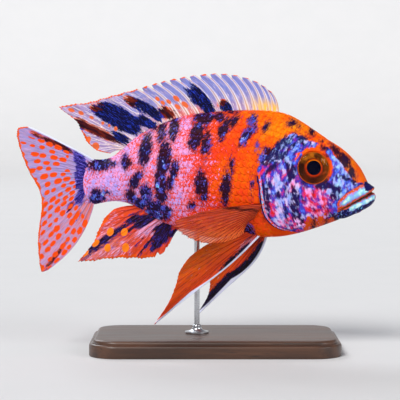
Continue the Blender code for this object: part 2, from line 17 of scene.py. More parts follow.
import bmesh
import bpy
import numpy as np
from bpy.types import Material, Mesh, Node, NodeSocket, NodeTree, Object
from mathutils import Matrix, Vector

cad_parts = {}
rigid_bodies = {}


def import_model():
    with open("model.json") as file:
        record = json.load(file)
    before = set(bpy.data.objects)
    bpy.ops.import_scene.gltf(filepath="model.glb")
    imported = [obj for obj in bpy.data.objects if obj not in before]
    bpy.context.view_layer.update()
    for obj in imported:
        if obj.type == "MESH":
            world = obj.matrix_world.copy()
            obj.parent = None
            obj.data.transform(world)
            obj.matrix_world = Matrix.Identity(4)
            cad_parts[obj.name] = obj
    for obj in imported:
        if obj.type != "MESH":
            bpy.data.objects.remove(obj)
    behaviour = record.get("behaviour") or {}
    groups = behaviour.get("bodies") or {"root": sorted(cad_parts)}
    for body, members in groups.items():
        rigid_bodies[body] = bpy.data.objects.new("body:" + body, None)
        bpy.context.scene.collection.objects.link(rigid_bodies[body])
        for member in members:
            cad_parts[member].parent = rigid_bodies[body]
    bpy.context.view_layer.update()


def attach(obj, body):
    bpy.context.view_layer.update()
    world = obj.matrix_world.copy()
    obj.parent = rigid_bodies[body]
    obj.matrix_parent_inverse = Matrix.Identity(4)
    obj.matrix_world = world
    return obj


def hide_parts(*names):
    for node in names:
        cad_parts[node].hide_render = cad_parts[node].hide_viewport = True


MM = 0.001
ROOT = "root"
LOG = logging.getLogger("peacock_cichlid")
Array = np.ndarray
Knots = Sequence[tuple[float, ...]]
Colour = tuple[int, int, int]


class Side(Enum):
    """Side of the fish, with the sign of Y there."""

    RIGHT = -1
    LEFT = 1

    @property
    def label(self) -> str:
        """Name of the side in names of pieces and nodes."""
        return self.name.lower()


class Slot(Enum):
    """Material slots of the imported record."""

    SKIN = "skin"
    COVER = "gill_cover"
    EYE = "eye"
    FIN = "fin"
    BASE = "stand_base"
    ROD = "stand_rod"


def spline(knots: Knots, at: Array) -> Array:
    """Natural cubic spline through (place, value) knots, straight beyond its ends.

    Args:
        knots: Places and values.
        at: Places to read.

    Returns:
        The value at each place.
    """
    x, y = np.asarray(sorted(knots), float).T
    step, size = np.diff(x), len(x)
    matrix, right = np.eye(size), np.zeros(size)
    inner = np.arange(1, size - 1)
    matrix[inner, inner - 1] = step[:-1]
    matrix[inner, inner] = 2 * (step[:-1] + step[1:])
    matrix[inner, inner + 1] = step[1:]
    slope = np.diff(y) / step
    right[inner] = 6 * np.diff(slope)
    bend = np.linalg.solve(matrix, right)
    at = np.asarray(at, float)
    inside = np.clip(at, x[0], x[-1])
    i = np.clip(np.searchsorted(x, inside) - 1, 0, size - 2)
    left, gone = x[i + 1] - inside, inside - x[i]
    value = (
        (bend[i] * left**3 + bend[i + 1] * gone**3) / (6 * step[i])
        + (y[i] / step[i] - bend[i] * step[i] / 6) * left
        + (y[i + 1] / step[i] - bend[i + 1] * step[i] / 6) * gone
    )
    lean = (bend[i + 1] * gone**2 - bend[i] * left**2) / (2 * step[i])
    lean += slope[i] - step[i] * (bend[i + 1] - bend[i]) / 6
    return value + lean * (at - inside)


def ease(low: float, high: float, value: Array) -> Array:
    """Smooth step from 0 at low to 1 at high."""
    t = np.clip((value - low) / (high - low), 0, 1)
    return t * t * (3 - 2 * t)


def bell(centre: float, width: float, value: Array) -> Array:
    """Smooth hump of height 1 about a centre."""
    return np.exp(-(((value - centre) / width) ** 2))


def blend(first: Array, second: Array | float, share: Array) -> Array:
    """The first value where the share is 0, the second where it is 1."""
    return first * (1 - share) + second * share


def stack(*parts: Array | float) -> Array:
    """Parts of one shape, or numbers, joined along a new last axis."""
    return np.stack(np.broadcast_arrays(*parts), -1)


def size_of(vectors: Array) -> Array:
    """Length of the vectors in the last axis, which is kept."""
    return np.linalg.norm(vectors, axis=-1, keepdims=True)


def unit(vectors: Array) -> Array:
    """Vectors in the last axis, scaled to length 1."""
    return vectors / np.maximum(size_of(vectors), 1e-9)


def swell(points: Array, size: float, seed: int) -> Array:
    """Value noise: a random number at each corner of a lattice, blended by smooth steps between them.

    Args:
        points: Points, with three numbers in the last axis.
        size: Lattice step in millimetres.
        seed: Picks the random numbers.

    Returns:
        Values from -1 to 1.
    """
    p = points / size + 1000.0
    cell = np.floor(p).astype(np.int64)
    t = p - cell
    t = t * t * (3 - 2 * t)
    total = np.zeros(points.shape[:-1])
    mask = 0xFFFFFFFF
    for corner in range(8):
        step = np.array([corner & 1, corner >> 1 & 1, corner >> 2 & 1])
        c = cell + step
        h = c[..., 0] * 73856093 ^ c[..., 1] * 19349663 ^ c[..., 2] * 83492791 ^ seed * 2654435761
        h = ((h & mask) ^ ((h & mask) >> 15)) * 2246822519 & mask
        h = (h ^ (h >> 13)) * 3266489917 & mask
        total += ((h ^ (h >> 16)) & mask) / mask * np.prod(np.where(step, t, 1 - t), axis=-1)
    return 2 * total - 1


def along(knots: Knots, count: int) -> Array:
    """Points at even steps of knot number along a smooth line through (x, z) knots."""
    place = np.linspace(0, len(knots) - 1, count)
    return stack(*(spline([(i, knot[axis]) for i, knot in enumerate(knots)], place) for axis in (0, 1)))


def away_from(place: Sequence[float], x: Array, z: Array) -> Array:
    """Distance from a place in side view."""
    return np.hypot(x - place[0], z - place[1])


def line_distance(x: Array, z: Array, line: Array) -> tuple[Array, Array]:
    """Signed distance from a line of points in side view, and the line's share at the nearest point.

    The distance to each straight piece is the length of what is left after the nearest point on it,
    and its sign is that of the cross product: positive on the line's left as it runs.

    Args:
        x: Places along the body.
        z: Heights.
        line: Points (x, z) of the line.

    Returns:
        The distance, and the line's share at the nearest point.
    """
    best, sign, share = np.full(np.shape(x), 1e9), np.ones(np.shape(x)), np.zeros(np.shape(x))
    for i, (start, end) in enumerate(zip(line[:-1], line[1:])):
        run = end - start
        t = np.clip(((x - start[0]) * run[0] + (z - start[1]) * run[1]) / (run @ run), 0, 1)
        dx, dz = x - start[0] - t * run[0], z - start[1] - t * run[1]
        distance = np.hypot(dx, dz)
        nearer = distance < best
        best = np.where(nearer, distance, best)
        sign = np.where(nearer, np.sign(run[0] * dz - run[1] * dx), sign)
        share = np.where(nearer, (i + t) / (len(line) - 1), share)
    return best * sign, share


@dataclass
class BodyForm:
    """Outer form of the body, from its side outline, half width and section roundness."""

    back: Knots = (
        (-56, 80.6), (-50.7, 80.3), (-45.3, 80.5), (-40.4, 83.4), (-35.7, 87.8), (-29.3, 92.2),
        (-23.3, 95.0), (-14.3, 98.3), (-4, 99.9), (9, 100.9), (18, 100.9), (26, 100.3), (33, 98.0),
        (42.8, 91.8), (48.7, 87.9), (55.5, 83.0), (58.7, 79.6), (61.9, 75.4), (66, 69.0),
    )
    belly: Knots = (
        (-56, 60.8), (-50.4, 61.2), (-44, 62.5), (-39, 62.3), (-34.9, 61.0), (-27.6, 56.8),
        (-21.7, 53.6), (-14.6, 51.2), (-7.6, 50.3), (0, 49.8), (9.6, 48.7), (18.1, 47.6),
        (22.3, 47.3), (28.6, 47.6), (34.9, 48.9), (41.2, 50.7), (48.3, 53.3), (56.4, 56.3),
        (60.5, 57.8), (66, 60.5),
    )
    half_width: Knots = (
        (-56, 1.3), (-50, 2.2), (-44, 2.9), (-36, 4.0), (-26, 5.8), (-14, 7.8), (-2, 9.3),
        (10, 10.2), (20, 10.4), (30, 10.3), (40, 9.7), (48, 8.6), (55, 7.2), (61, 5.6), (66, 4.2),
    )
    widest: Knots = (
        (-56, 70.7), (-40, 72), (-20, 75), (0, 76), (20, 75), (35, 73), (48, 70), (60, 66), (66, 65),
    )
    back_roundness: Knots = ((-56, 2.0), (-30, 1.85), (0, 1.8), (30, 1.85), (66, 2.2))
    belly_roundness: Knots = ((-56, 2.0), (0, 2.1), (66, 2.2))
    muzzle_start: float = 60.5
    muzzle_end: float = 66.0
    muzzle_height: float = 66.0
    stalk_end: float = -50.8
    stalk_bulge: float = 4.4
    stalk_middle: float = 70.7
    stalk_half: float = 10.0

    def section(self, x: Array) -> tuple[Array, ...]:
        """Sizes of the section at x.

        Ahead of muzzle_start all but the roundnesses shrink as half an ellipse to the muzzle's tip.

        Args:
            x: Places along the body.

        Returns:
            Top, bottom, widest height, half width and the two roundnesses.
        """
        x = np.asarray(x, float)
        closing = np.clip((x - self.muzzle_start) / (self.muzzle_end - self.muzzle_start), 0, 1)
        shrink = np.sqrt(1 - closing**2)
        heights = [
            self.muzzle_height + (spline(knots, x) - self.muzzle_height) * shrink
            for knots in (self.back, self.belly, self.widest)
        ]
        wide = spline(self.half_width, x) * shrink
        return (*heights, wide, spline(self.back_roundness, x), spline(self.belly_roundness, x))

    def point(self, x: Array, angle: Array) -> Array:
        """Point of the left skin.

        The section is a superellipse: height and width follow cos and sin to the power 2 over roundness.

        Args:
            x: Places along the body.
            angle: Angles from 0 on the back to pi on the belly.

        Returns:
            The points.
        """
        top, bottom, middle, wide, upper, lower = self.section(x)
        up, out = np.cos(angle), np.clip(np.sin(angle), 0, 1)
        power = 2 / np.where(up >= 0, upper, lower)
        height = np.where(up >= 0, top - middle, middle - bottom)
        z = middle + np.sign(up) * height * np.abs(up) ** power
        return stack(x, wide * out**power, z)

    def flank(self, x: Array, z: Array) -> Array:
        """Half width of the body at x and height z.

        Args:
            x: Places along the body.
            z: Heights.

        Returns:
            The half widths.
        """
        top, bottom, middle, wide, upper, lower = self.section(x)
        above = z >= middle
        height = np.where(above, top - middle, middle - bottom)
        power = np.where(above, upper, lower)
        ratio = np.clip(np.abs(z - middle) / np.maximum(height, 1e-6), 0, 1)
        return wide * (1 - ratio**power) ** (1 / power)

    def flank_normal(self, x: Array, z: Array) -> Array:
        """Outward direction of the left flank, from the slopes of the half width.

        Args:
            x: Places along the body.
            z: Heights.

        Returns:
            Directions of length 1.
        """
        step = 0.1
        across = self.flank(x - step, z) - self.flank(x + step, z)
        upward = self.flank(x, z - step) - self.flank(x, z + step)
        return unit(stack(across, 2 * step, upward))

    def underside(self, x: Array, y: Array) -> Array:
        """Height of the belly at x and distance y from the plane of symmetry.

        Args:
            x: Places along the body.
            y: Distances from the plane of symmetry.

        Returns:
            The heights.
        """
        _, bottom, middle, wide, _, lower = self.section(x)
        ratio = np.clip(np.abs(y) / wide, 0, 1)
        return middle - (middle - bottom) * (1 - ratio**lower) ** (1 / lower)

    def stalk_edge(self, z: Array) -> Array:
        """X of the tail stalk's rear edge, a parabola that bulges to the rear."""
        ratio = np.clip(np.abs(z - self.stalk_middle) / self.stalk_half, 0, 1)
        return self.stalk_end - self.stalk_bulge * (1 - ratio**2)


FORM = BodyForm()
GILL_COVER_FRONT: Knots = (
    (29.5, 83.0), (29.2, 76.0), (29.6, 70.0), (30.4, 64.0), (32.2, 58.5), (35.5, 54.6), (39.0, 52.9),
)
GILL_COVER_REAR: Knots = (
    (20.5, 80.6), (17.4, 75.8), (17.9, 69.4), (18.9, 61.6), (21.0, 55.8), (25.4, 52.0), (32.0, 50.2),
)
MOSAIC_TOP: Knots = (
    (12, 74), (17.5, 80.6), (22, 84.8), (27, 88.0), (31, 90.6), (34.4, 91.2), (36, 89.4), (41, 87.8),
)
EYE_PLACE = (40.8, 76.9)
EYE_RADIUS = 6.9
FAINT_DEPTH = 1.6
INK_RANGE = 6.0


class BodyLay:
    """The left flank laid out flat: x along the body and the girth's arc from its widest line."""

    x_step: float = 0.25
    arc_step: float = 0.25
    x_range: tuple[float, float] = (-56.0, 64.0)
    arc_range: tuple[float, float] = (-46.0, 46.0)
    girth_steps: int = 360

    def __init__(self, form: BodyForm) -> None:
        """Fills tables of points and normals, each section read at even steps of arc length.

        Args:
            form: Gives the body's surface.
        """
        self.x = np.arange(*self.x_range, self.x_step)
        self.arc = np.arange(*self.arc_range, self.arc_step)
        angle = np.linspace(0, math.pi, self.girth_steps + 1)
        points = form.point(self.x[:, None], angle[None, :])
        length = size_of(np.diff(points, axis=1))[..., 0]
        run = np.concatenate([np.zeros((len(self.x), 1)), np.cumsum(length, axis=1)], axis=1)
        self.top = run[:, self.girth_steps // 2]
        self.bottom = self.top - run[:, -1]
        self.place = np.empty((len(self.x), len(self.arc), 3))
        for i in range(len(self.x)):
            away = self.top[i] - run[i]
            for axis in range(3):
                self.place[i, :, axis] = np.interp(self.arc, away[::-1], points[i, ::-1, axis])
        lengthwise = np.gradient(self.place, self.x_step, axis=0)
        normal = np.cross(np.gradient(self.place, self.arc_step, axis=1), lengthwise)
        upright = stack(0, 0, np.sign(self.arc))[None]
        self.normal = np.where(size_of(normal) > 1e-4, unit(normal), upright)

    def read(self, table: Array, x: Array, arc: Array) -> Array:
        """Value of a table at (x, arc), blended from the four entries round it.

        Args:
            table: One of the tables.
            x: Places along the body.
            arc: Arcs from the widest line.

        Returns:
            The values.
        """
        i = np.clip((x - self.x[0]) / self.x_step, 0, len(self.x) - 1.001)
        j = np.clip((arc - self.arc[0]) / self.arc_step, 0, len(self.arc) - 1.001)
        a, b = i.astype(int), j.astype(int)
        s, t = (i - a)[..., None], (j - b)[..., None]
        low = blend(table[a, b], table[a + 1, b], s)
        return blend(low, blend(table[a, b + 1], table[a + 1, b + 1], s), t)

    def surface(self, x: Array, arc: Array, lift: Array) -> Array:
        """Point above the left skin: the laid-out place, moved by lift along the normal."""
        return self.read(self.place, x, arc) + unit(self.read(self.normal, x, arc)) * lift[..., None]

    def reach(self, x: Array) -> tuple[Array, Array]:
        """Arc at the belly's and the back's middle line."""
        return np.interp(x, self.x, self.bottom), np.interp(x, self.x, self.top)


@dataclass(frozen=True)
class Patch:
    """A soft oval of one marking in side view, in millimetres, its long axis tilted from upright."""

    x: float
    z: float
    long: float
    wide: float
    tilt: float = 0.0
    weight: float = 1.0

    def depth(self, x: Array, z: Array) -> Array:
        """About how far inside the edge a point lies: 1 less the oval's radius, times its smaller half.

        Args:
            x: Places along the body.
            z: Heights.

        Returns:
            The depths in millimetres.
        """
        turn = math.radians(self.tilt)
        u = (x - self.x) * math.sin(turn) + (z - self.z) * math.cos(turn)
        v = (x - self.x) * math.cos(turn) - (z - self.z) * math.sin(turn)
        inside = 1 - np.hypot(u / self.long, v / self.wide)
        return inside * min(self.long, self.wide) - FAINT_DEPTH * (1 - self.weight)


def patches(*rows: tuple[float, ...]) -> tuple[Patch, ...]:
    """Patches from rows of x, z, half length, half width, tilt and weight."""
    return tuple(Patch(*row) for row in rows)


TRUNK_DARK = patches(
    (-29, 84.6, 7.2, 2.5, 8), (-22.2, 92, 4.4, 2.1, 10), (-17.3, 93.2, 5.2, 2.1, 12), (-18, 97, 1.6, 3.4),
    (-26.6, 93.8, 1.4, 3.4, 20), (-21.2, 80, 7.4, 3.2, 8), (-22.6, 68.6, 9, 2.7, -2),
    (-17.2, 76.4, 4.2, 1.8, 4), (-18.9, 70, 3.2, 1.5), (-33.2, 71.4, 4.6, 2, 30),
    (-35.4, 65, 3.8, 2.3, -10), (-28.6, 64.6, 5.6, 2.6, -14), (-24.8, 58.6, 4.6, 4.4),
    (-20.6, 58.6, 3.6, 2.4), (-31.4, 61.6, 3, 2.6, -40), (-37.2, 78.8, 3.6, 1.9, -10),
    (-48.2, 78.2, 2.9, 6, -4), (-49.2, 64.4, 3.4, 3.1), (-45.6, 66.4, 1, 2), (-7.8, 91, 7.2, 2.8, 14),
    (-3.7, 87, 6.2, 2, 4), (-4.6, 97.8, 3.4, 4.4), (3.8, 93.2, 5, 2, 24), (7.6, 95.4, 3.8, 1.4, 35),
    (2, 98, 2.4, 2.6, 40), (-5.6, 69.2, 6.6, 2.6, -4), (4.4, 68.6, 8.4, 2.7, 4, 0.7),
    (6.8, 78.2, 4, 1.4, 4, 0.7), (-9.8, 61.4, 2.8, 2.6, 0, 0.5), (12.8, 90, 5, 2, 34),
    (15.4, 96.4, 3, 1.9, 20), (15.6, 92.8, 2.2, 1.2, 30), (17.2, 86.4, 3.6, 1.4, 12, 0.5),
    # First and last ovals below are painted shade: behind the gill cover, and in the pit by the breast fin's
    # base.
    (15.2, 68.6, 7.6, 1.3, 6, 0.5), (6.6, 101.2, 1.5, 3.4), (14.2, 50.4, 4.4, 2, -30),
)
HEAD_DARK = patches(
    (41.5, 53, 3.4, 0.5, -8), (46.6, 54.2, 3, 0.4, 10), (21.4, 93.8, 2.4, 1.4, 25),
    (32.4, 95.2, 2.2, 3.2, 0, 0.6), (35.4, 94, 1.2, 1.8, 0, 0.5), (40.2, 91.4, 2.4, 2.2, 30, 0.6),
    (44.2, 87.8, 1, 1.8, 0, 0.5), (45.8, 84.8, 1.5, 2.4, 20, 0.7), (47, 81.8, 1.7, 1.1, -20, 0.7),
    (50.2, 84, 3.4, 1.7, -44), (53.6, 80, 4.2, 2.2, -38), (56.6, 75.4, 3.6, 1.4, -24),
    (20, 80.6, 2.2, 2.8, 40), (24, 82.4, 2.6, 4.6, 24), (27.2, 86.6, 3.4, 1.6, 40),
    (31, 76.4, 5.4, 1.9, -14), (36.2, 88.2, 2, 2.6, 30), (32.8, 62.6, 8.6, 2, -3),
    (34.8, 55.4, 3, 2, -25), (29.6, 67.6, 2.4, 1.2), (44.6, 69.6, 2, 4.2, 10), (50, 66.6, 3.4, 3.2),
    (21.6, 66.4, 4.8, 1.4, -4), (21.4, 59.6, 3.4, 1.4), (50.2, 56.6, 1.4, 3.6, 12), (44.8, 71.8, 2, 2.2),
    (30.6, 88, 3.6, 0.7, 40), (33.6, 87.4, 3.4, 0.6, 50), (28.4, 82, 4.6, 0.9, 40),
    (23.6, 76.8, 3, 0.9, 50), (57.4, 70.8, 1.2, 2.4, 40), (26, 66, 5, 0.9, -4), (53, 72.6, 1, 3, 20),
    (29.4, 57.8, 3.2, 1, -8),
)
ROSE_PATCHES = patches(
    (21, 75.4, 3.2, 2.7), (41.8, 62.6, 5.6, 5.2), (38.4, 65.4, 4.4, 2.2), (21.8, 61.8, 2.6, 1.4),
    (24, 58, 1.8, 1.4), (32, 70.2, 1.8, 1.1), (27.6, 73.8, 1.6, 1), (46, 60.4, 3.4, 2.6),
)
PALE_PATCHES = patches(
    (30, 87.6, 2.6, 0.8, 40), (28.6, 84.2, 1.5, 0.8, 50), (34.6, 86.2, 1.5, 1.1, 60),
    (32.2, 85, 1.4, 0.9), (33.2, 89.6, 1.6, 0.8, 50), (37.4, 87.4, 1.6, 0.7, 40),
    (40.2, 87, 0.7, 1.6, -70), (24.6, 81, 0.8, 1.4, 70), (27, 77, 3, 1.4, -25),
    (25.4, 71.4, 4.4, 2.3, -8), (21.8, 69.2, 1.5, 1.2), (23.2, 66.2, 2.1, 1.2, -10),
    (26.4, 60.6, 5.6, 1.9), (30.4, 65.6, 5.8, 1.1, -4), (33.8, 69.8, 2.2, 1.4, -20),
    (30.8, 79.6, 1.6, 1, -30), (28, 54.2, 1.9, 3.4, 20), (35, 52.6, 0.8, 4.8, -10),
    (33.2, 55.8, 2.4, 0.9, -30), (41.4, 57, 1.3, 5.8, -4), (38.6, 67.6, 2.3, 1.1), (38.4, 61.2, 1.2, 1.5),
    (43.4, 66.2, 1.8, 0.9), (44.6, 62.6, 0.9, 1.3), (51, 79, 3.8, 1.5, -42), (54, 75.4, 2.8, 1.1, -40),
    (51.4, 71.4, 2.9, 2.4, -20), (56, 69, 1.9, 2.8), (52.4, 65.2, 1.7, 1.5), (47, 67.2, 1.2, 0.8),
)
BRIGHT_PATCHES = patches(
    (12.4, 89.6, 1.6, 0.6, 34), (11.4, 88, 1.1, 0.5, 30), (-6.6, 94.4, 1.6, 0.5, 20),
    (-4.6, 92.4, 1.3, 0.4, 20), (-21.6, 78, 2, 0.5), (-17.4, 72.6, 2.4, 0.5), (-24, 70, 2.2, 0.6),
    (-46.6, 66.2, 1.2, 0.6),
)
FROST_BANDS = patches(
    (-26, 80, 12, 1.7, 5), (-14.6, 71, 11, 1.9, 2), (-11.4, 90, 8.4, 2, 20), (-30.6, 67, 6, 1.4, 30),
    (-41, 76.6, 5, 2.4, 40), (0.2, 69, 7, 0.8, 0, 0.7), (-18.6, 88, 3.6, 3.4, 0, 0.8),
    (-47, 70.6, 3.4, 5, 0, 0.8),
)


class Markings:
    """Smooth fields of the fish's markings and some painted shade; the skin and scales read the same ones."""

    seed: int = 7
    trunk_end: float = 18.0
    shift: tuple[float, float] = (3.0, 0.6)
    growth: tuple[float, float] = (0.16, 0.05)
    tilt: float = 6.0
    highest: float = 97.0

    def __init__(self) -> None:
        """Keeps the right side's patches as drawn and varies their places and sizes on the left."""
        draw = np.random.default_rng(self.seed)

        def varied(patch: Patch) -> Patch:
            """The patch moved, resized and tilted at random, on the head less than on the trunk.

            Args:
                patch: Patch as drawn.

            Returns:
                The new patch.
            """
            part = 0 if patch.x < self.trunk_end else 1
            move = draw.normal(0, self.shift[part], 2)
            grow = math.exp(draw.normal(0, self.growth[part]))
            tilt = patch.tilt + draw.normal(0, self.tilt)
            z = min(patch.z + move[1], self.highest)
            return Patch(patch.x + move[0], z, patch.long * grow, patch.wide * grow, tilt, patch.weight)

        drawn = (TRUNK_DARK + HEAD_DARK, ROSE_PATCHES, PALE_PATCHES, FROST_BANDS, BRIGHT_PATCHES)
        self.groups = {
            Side.RIGHT: drawn,
            Side.LEFT: tuple(tuple(varied(patch) for patch in group) for group in drawn),
        }

    @staticmethod
    def most(patches: Sequence[Patch], x: Array, z: Array) -> Array:
        """Greatest depth inside any patch, in millimetres.

        Args:
            patches: Patches of one group.
            x: Places along the body.
            z: Heights.

        Returns:
            The depths, at least -4.
        """
        value = np.full(np.shape(x), -4.0)
        for patch in patches:
            value = np.maximum(value, patch.depth(x, z))
        return value

    def one_side(self, side: Side, points: Array) -> Array:
        """The six fields at points read as if they were all on one side.

        Args:
            side: Whose patches are read.
            points: Points in millimetres.

        Returns:
            Blush (0 yellow to 1 pink), ink (millimetres inside a blotch or a patch of painted shade),
            frost (share of pale flecks), spark (share of bright flecks on ink), azure (0 rose to 1
            turquoise) and mosaic.
        """
        x, z = points[..., 0], points[..., 2]
        dark, rose, pale, bands, glows = (self.most(group, x, z) for group in self.groups[side])
        rear, stalk, upper = ease(4, -20, x), ease(-28, -42, x), ease(66, 84, z)
        nape = ease(8, 28, x) * ease(82, 96, z)
        rag = 0.9 * swell(points, 1.7, 21) + 0.5 * swell(points, 0.8, 22)
        chin = ease(56.6, 53.0, z - 0.12 * (x - 40) + 3.2 * rag) * ease(36.0, 38.5, x + rag)
        red = ease(1.05, 0.55, np.hypot((x - 42.4) / 7.2, (z - 62.8) / 6.8) + 0.22 * rag)
        mosaic = self.mosaic_share(x, z, rag) * (1 - chin)
        rosy = np.maximum(ease(-1.2, 1.2, rose + 0.6 * rag), 0.75 * red)
        blush = 0.44 + 0.11 * ease(6, -4, x) + 0.24 * rear + 0.14 * stalk - 0.24 * nape
        blush += 0.12 * swell(points, 7.0, 5) - 0.12 * ease(44, 58, x) * ease(60, 66, z)
        blush -= 0.06 * chin + 0.10 * ease(62, 52, z) * rear * (1 - stalk)
        ink = np.maximum(dark, -2.2 - 2.0 * (1 - rear)) + 0.4 * swell(points, 3.4, 3)
        frost = 0.13 + 0.17 * ease(14, -2, x) + 0.25 * rear + 0.10 * stalk + 0.05 * upper * rear
        frost += 0.04 * swell(points, 4.0, 6) + 0.05 * ease(-1.6, 0.6, bands) - 0.10 * ease(60, 52, z)
        frost = frost * (1 - nape) + (0.36 + 0.2 * rag) * chin
        light = 0.24 + 0.42 * ease(-0.9, 0.9, pale + 0.4 * rag) + 0.10 * red + 0.09 * swell(points, 2.6, 13)
        frost = np.where(mosaic > 0.3, light, frost)
        azure = 0.26 + 0.12 * rear * ease(80, 60, z) + 0.08 * stalk + 0.10 * swell(points, 6.0, 9)
        blue = 0.54 + 0.10 * ease(77, 83, z) - 0.04 * red + 0.14 * ease(46, 50, x + rag)
        blue -= 0.20 * ease(58, 55.5, z + rag) * ease(24, 27, x) + 0.30 * rosy
        azure = blend(azure, blue, mosaic)
        spark = 0.38 + 0.10 * rear + 0.12 * rear * ease(72, 60, z) - 0.26 * ease(26, 32, x)
        spark += 0.14 * ease(-10, -4, x) * ease(4, 0, x) * upper + 0.30 * ease(9, 12, x) * ease(24, 18, x)
        bright = ease(-0.3, 0.4, glows)
        return stack(blush, ink, frost, spark + 0.4 * bright, azure + 0.6 * bright, mosaic)

    @staticmethod
    def mosaic_share(x: Array, z: Array, ragged: Array) -> Array:
        """1 on the gill cover, the cheek, the snout and round the eye, 0 elsewhere, with ragged edges.

        Args:
            x: Places along the body.
            z: Heights.
            ragged: Noise that moves the edges.

        Returns:
            The shares.
        """
        rear, _ = line_distance(x, z, along(GILL_COVER_REAR, 15))
        top, _ = line_distance(x, z, along(MOSAIC_TOP, 14))
        eye = away_from(EYE_PLACE, x, z)
        above = ease(7.6, 9.4, eye + ragged) * ease(45, 40, x + ragged)
        front = np.maximum(np.where(z > 76, above, ease(40.4, 37.4, x)), (eye < 8) & (x < 36))
        cover = ease(-0.5, 0.3, rear) * ease(1.2, -1.2, top + 0.9 * ragged) * front
        cheek = ease(34, 36.5, x) * ease(54.0, 57.0, z + 0.9 * ragged) * ease(71.4, 69.8, z + 0.5 * ragged)
        snout = ease(7.5, 8.4, eye + 0.6 * ragged) * ease(45, 47, x) * ease(66, 69, z)
        snout *= ease(0.8, -0.8, z - 83.0 + 1.3 * (x - 49) + 0.9 * ragged)
        return np.maximum(cover, np.maximum(cheek, snout))

    def fields(self, points: Array) -> Array:
        """The six fields at points, blended from one side's to the other's across the back and belly."""
        left = ease(-1.5, 1.5, points[..., 1])[..., None]
        return blend(self.one_side(Side.RIGHT, points), self.one_side(Side.LEFT, points), left)


@dataclass
class Coat:
    """Paint of a surface: for each field of the hide's shader, one number a point.

    Blush, ink, frost, spark, azure and mosaic are the markings' fields. Along and across are a scale's
    own coordinates, and grain holds coordinates in millimetres that lean as the rows of scales do.
    """

    blush: Array
    ink: Array
    frost: Array
    spark: Array
    azure: Array
    mosaic: Array
    grain: Array
    along: Array | float = 0.5
    across: Array | float = 0.5
    shade: Array | float = 1.0

    @classmethod
    def of(cls, markings: Markings, points: Array) -> Coat:
        """The markings at points, with ink brought to 0 to 1.

        Args:
            markings: Gives the fields.
            points: Points, with three numbers in the last axis.

        Returns:
            The coat.
        """
        values = markings.fields(points)
        values[:, 1] = 0.5 + values[:, 1] / INK_RANGE
        x, y, z = points.T
        grain = stack(x - 0.016 * (z - 71) ** 2 * ease(62, 40, x), y, z)
        return cls(*np.clip(values, 0, 1).T, grain)

    def attributes(self) -> dict[str, Array]:
        """The fields as the attributes that the hide's material reads.

        Returns:
            Three numbers a point for each attribute.
        """
        return {
            "tone": stack(self.blush, self.ink, self.frost),
            "glint": stack(self.spark, self.azure, self.mosaic),
            "grain": self.grain,
            "plate": stack(self.along, self.across, self.shade + 0 * self.ink),
        }


def grid_faces(rows: int, columns: int, start: int = 0) -> Array:
    """Quads of a grid of points, numbered row by row."""
    number = np.arange(rows * columns).reshape(rows, columns) + start
    return stack(number[:-1, :-1], number[1:, :-1], number[1:, 1:], number[:-1, 1:]).reshape(-1, 4)


def add_attribute(mesh: Mesh, name: str, values: Array) -> None:
    """Writes three numbers a point as a colour attribute.

    Args:
        mesh: Takes the attribute.
        name: Name of the attribute.
        values: Three numbers a point.
    """
    values = values.reshape(-1, 3)
    values = np.concatenate([values, np.ones((len(values), 1))], -1)
    layer = mesh.attributes.new(name, "FLOAT_COLOR", "POINT")
    layer.data.foreach_set("color", np.ascontiguousarray(values, np.float32).ravel())


def build_mesh(name: str, points: Array, faces: Array, values: dict[str, Array] | None = None,
               weld: bool = True, turn: bool = True) -> Mesh:
    """Mesh from points in millimetres and quads.

    Args:
        name: Name of the mesh.
        points: Points, with three numbers in the last axis.
        faces: Four point numbers a row.
        values: Three numbers a point for each attribute.
        weld: Merges points that meet, as at poles and on the plane of symmetry.
        turn: Turns all faces outward.

    Returns:
        The mesh, shaded smooth.
    """
    mesh = bpy.data.meshes.new(name)
    mesh.vertices.add(points.size // 3)
    mesh.vertices.foreach_set("co", (np.asarray(points, float) * MM).astype(np.float32).ravel())
    mesh.loops.add(faces.size)
    mesh.loops.foreach_set("vertex_index", faces.astype(np.int32).ravel())
    mesh.polygons.add(len(faces))
    mesh.polygons.foreach_set("loop_start", np.arange(0, faces.size, 4, dtype=np.int32))
    mesh.update(calc_edges=True)
    for key, value in (values or {}).items():
        add_attribute(mesh, key, value)
    if weld or turn:
        work = bmesh.new()
        work.from_mesh(mesh)
        if weld:
            bmesh.ops.remove_doubles(work, verts=work.verts, dist=0.002 * MM)
            bmesh.ops.dissolve_degenerate(work, edges=work.edges, dist=0.001 * MM)
        if turn:
            bmesh.ops.recalc_face_normals(work, faces=work.faces)
        work.to_mesh(mesh)
        work.free()
    mesh.shade_smooth()
    return mesh


def link(name: str, data: bpy.types.ID) -> Object:
    """New object in the scene.

    Args:
        name: Name of the object.
        data: Its mesh, lamp or camera.

    Returns:
        The object.
    """
    piece = bpy.data.objects.new(name, data)
    bpy.context.scene.collection.objects.link(piece)
    return piece


def add_piece(mesh: Mesh, material: Material, slot: Slot, replaced: Sequence[str] = ()) -> Object:
    """Object of the model, named as its mesh: it rides on the root and stands for CAD nodes.

    Args:
        mesh: Finished mesh.
        material: Finish of the piece.
        slot: Slot of the record; not used.
        replaced: Names of the CAD nodes.

    Returns:
        The object.
    """
    piece = link(mesh.name, mesh)
    mesh.materials.append(material)
    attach(piece, ROOT)
    if replaced:
        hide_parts(*replaced)
    LOG.info("%s: %d faces", mesh.name, len(mesh.polygons))
    return piece


def doubled(faces: Array, shift: int) -> Array:
    """Quads, and the same quads turned over with their point numbers moved on by shift."""
    return np.concatenate([faces, faces[:, ::-1] + shift])


def closed_sheet(middle: Array, normal: Array, half: Array) -> tuple[Array, Array]:
    """Points and faces of a closed sheet: a middle surface moved both ways by a half thickness."""
    points = np.concatenate([middle + sign * normal * half[..., None] for sign in (1, -1)])
    return points.reshape(-1, 3), doubled(grid_faces(*half.shape), half.size)


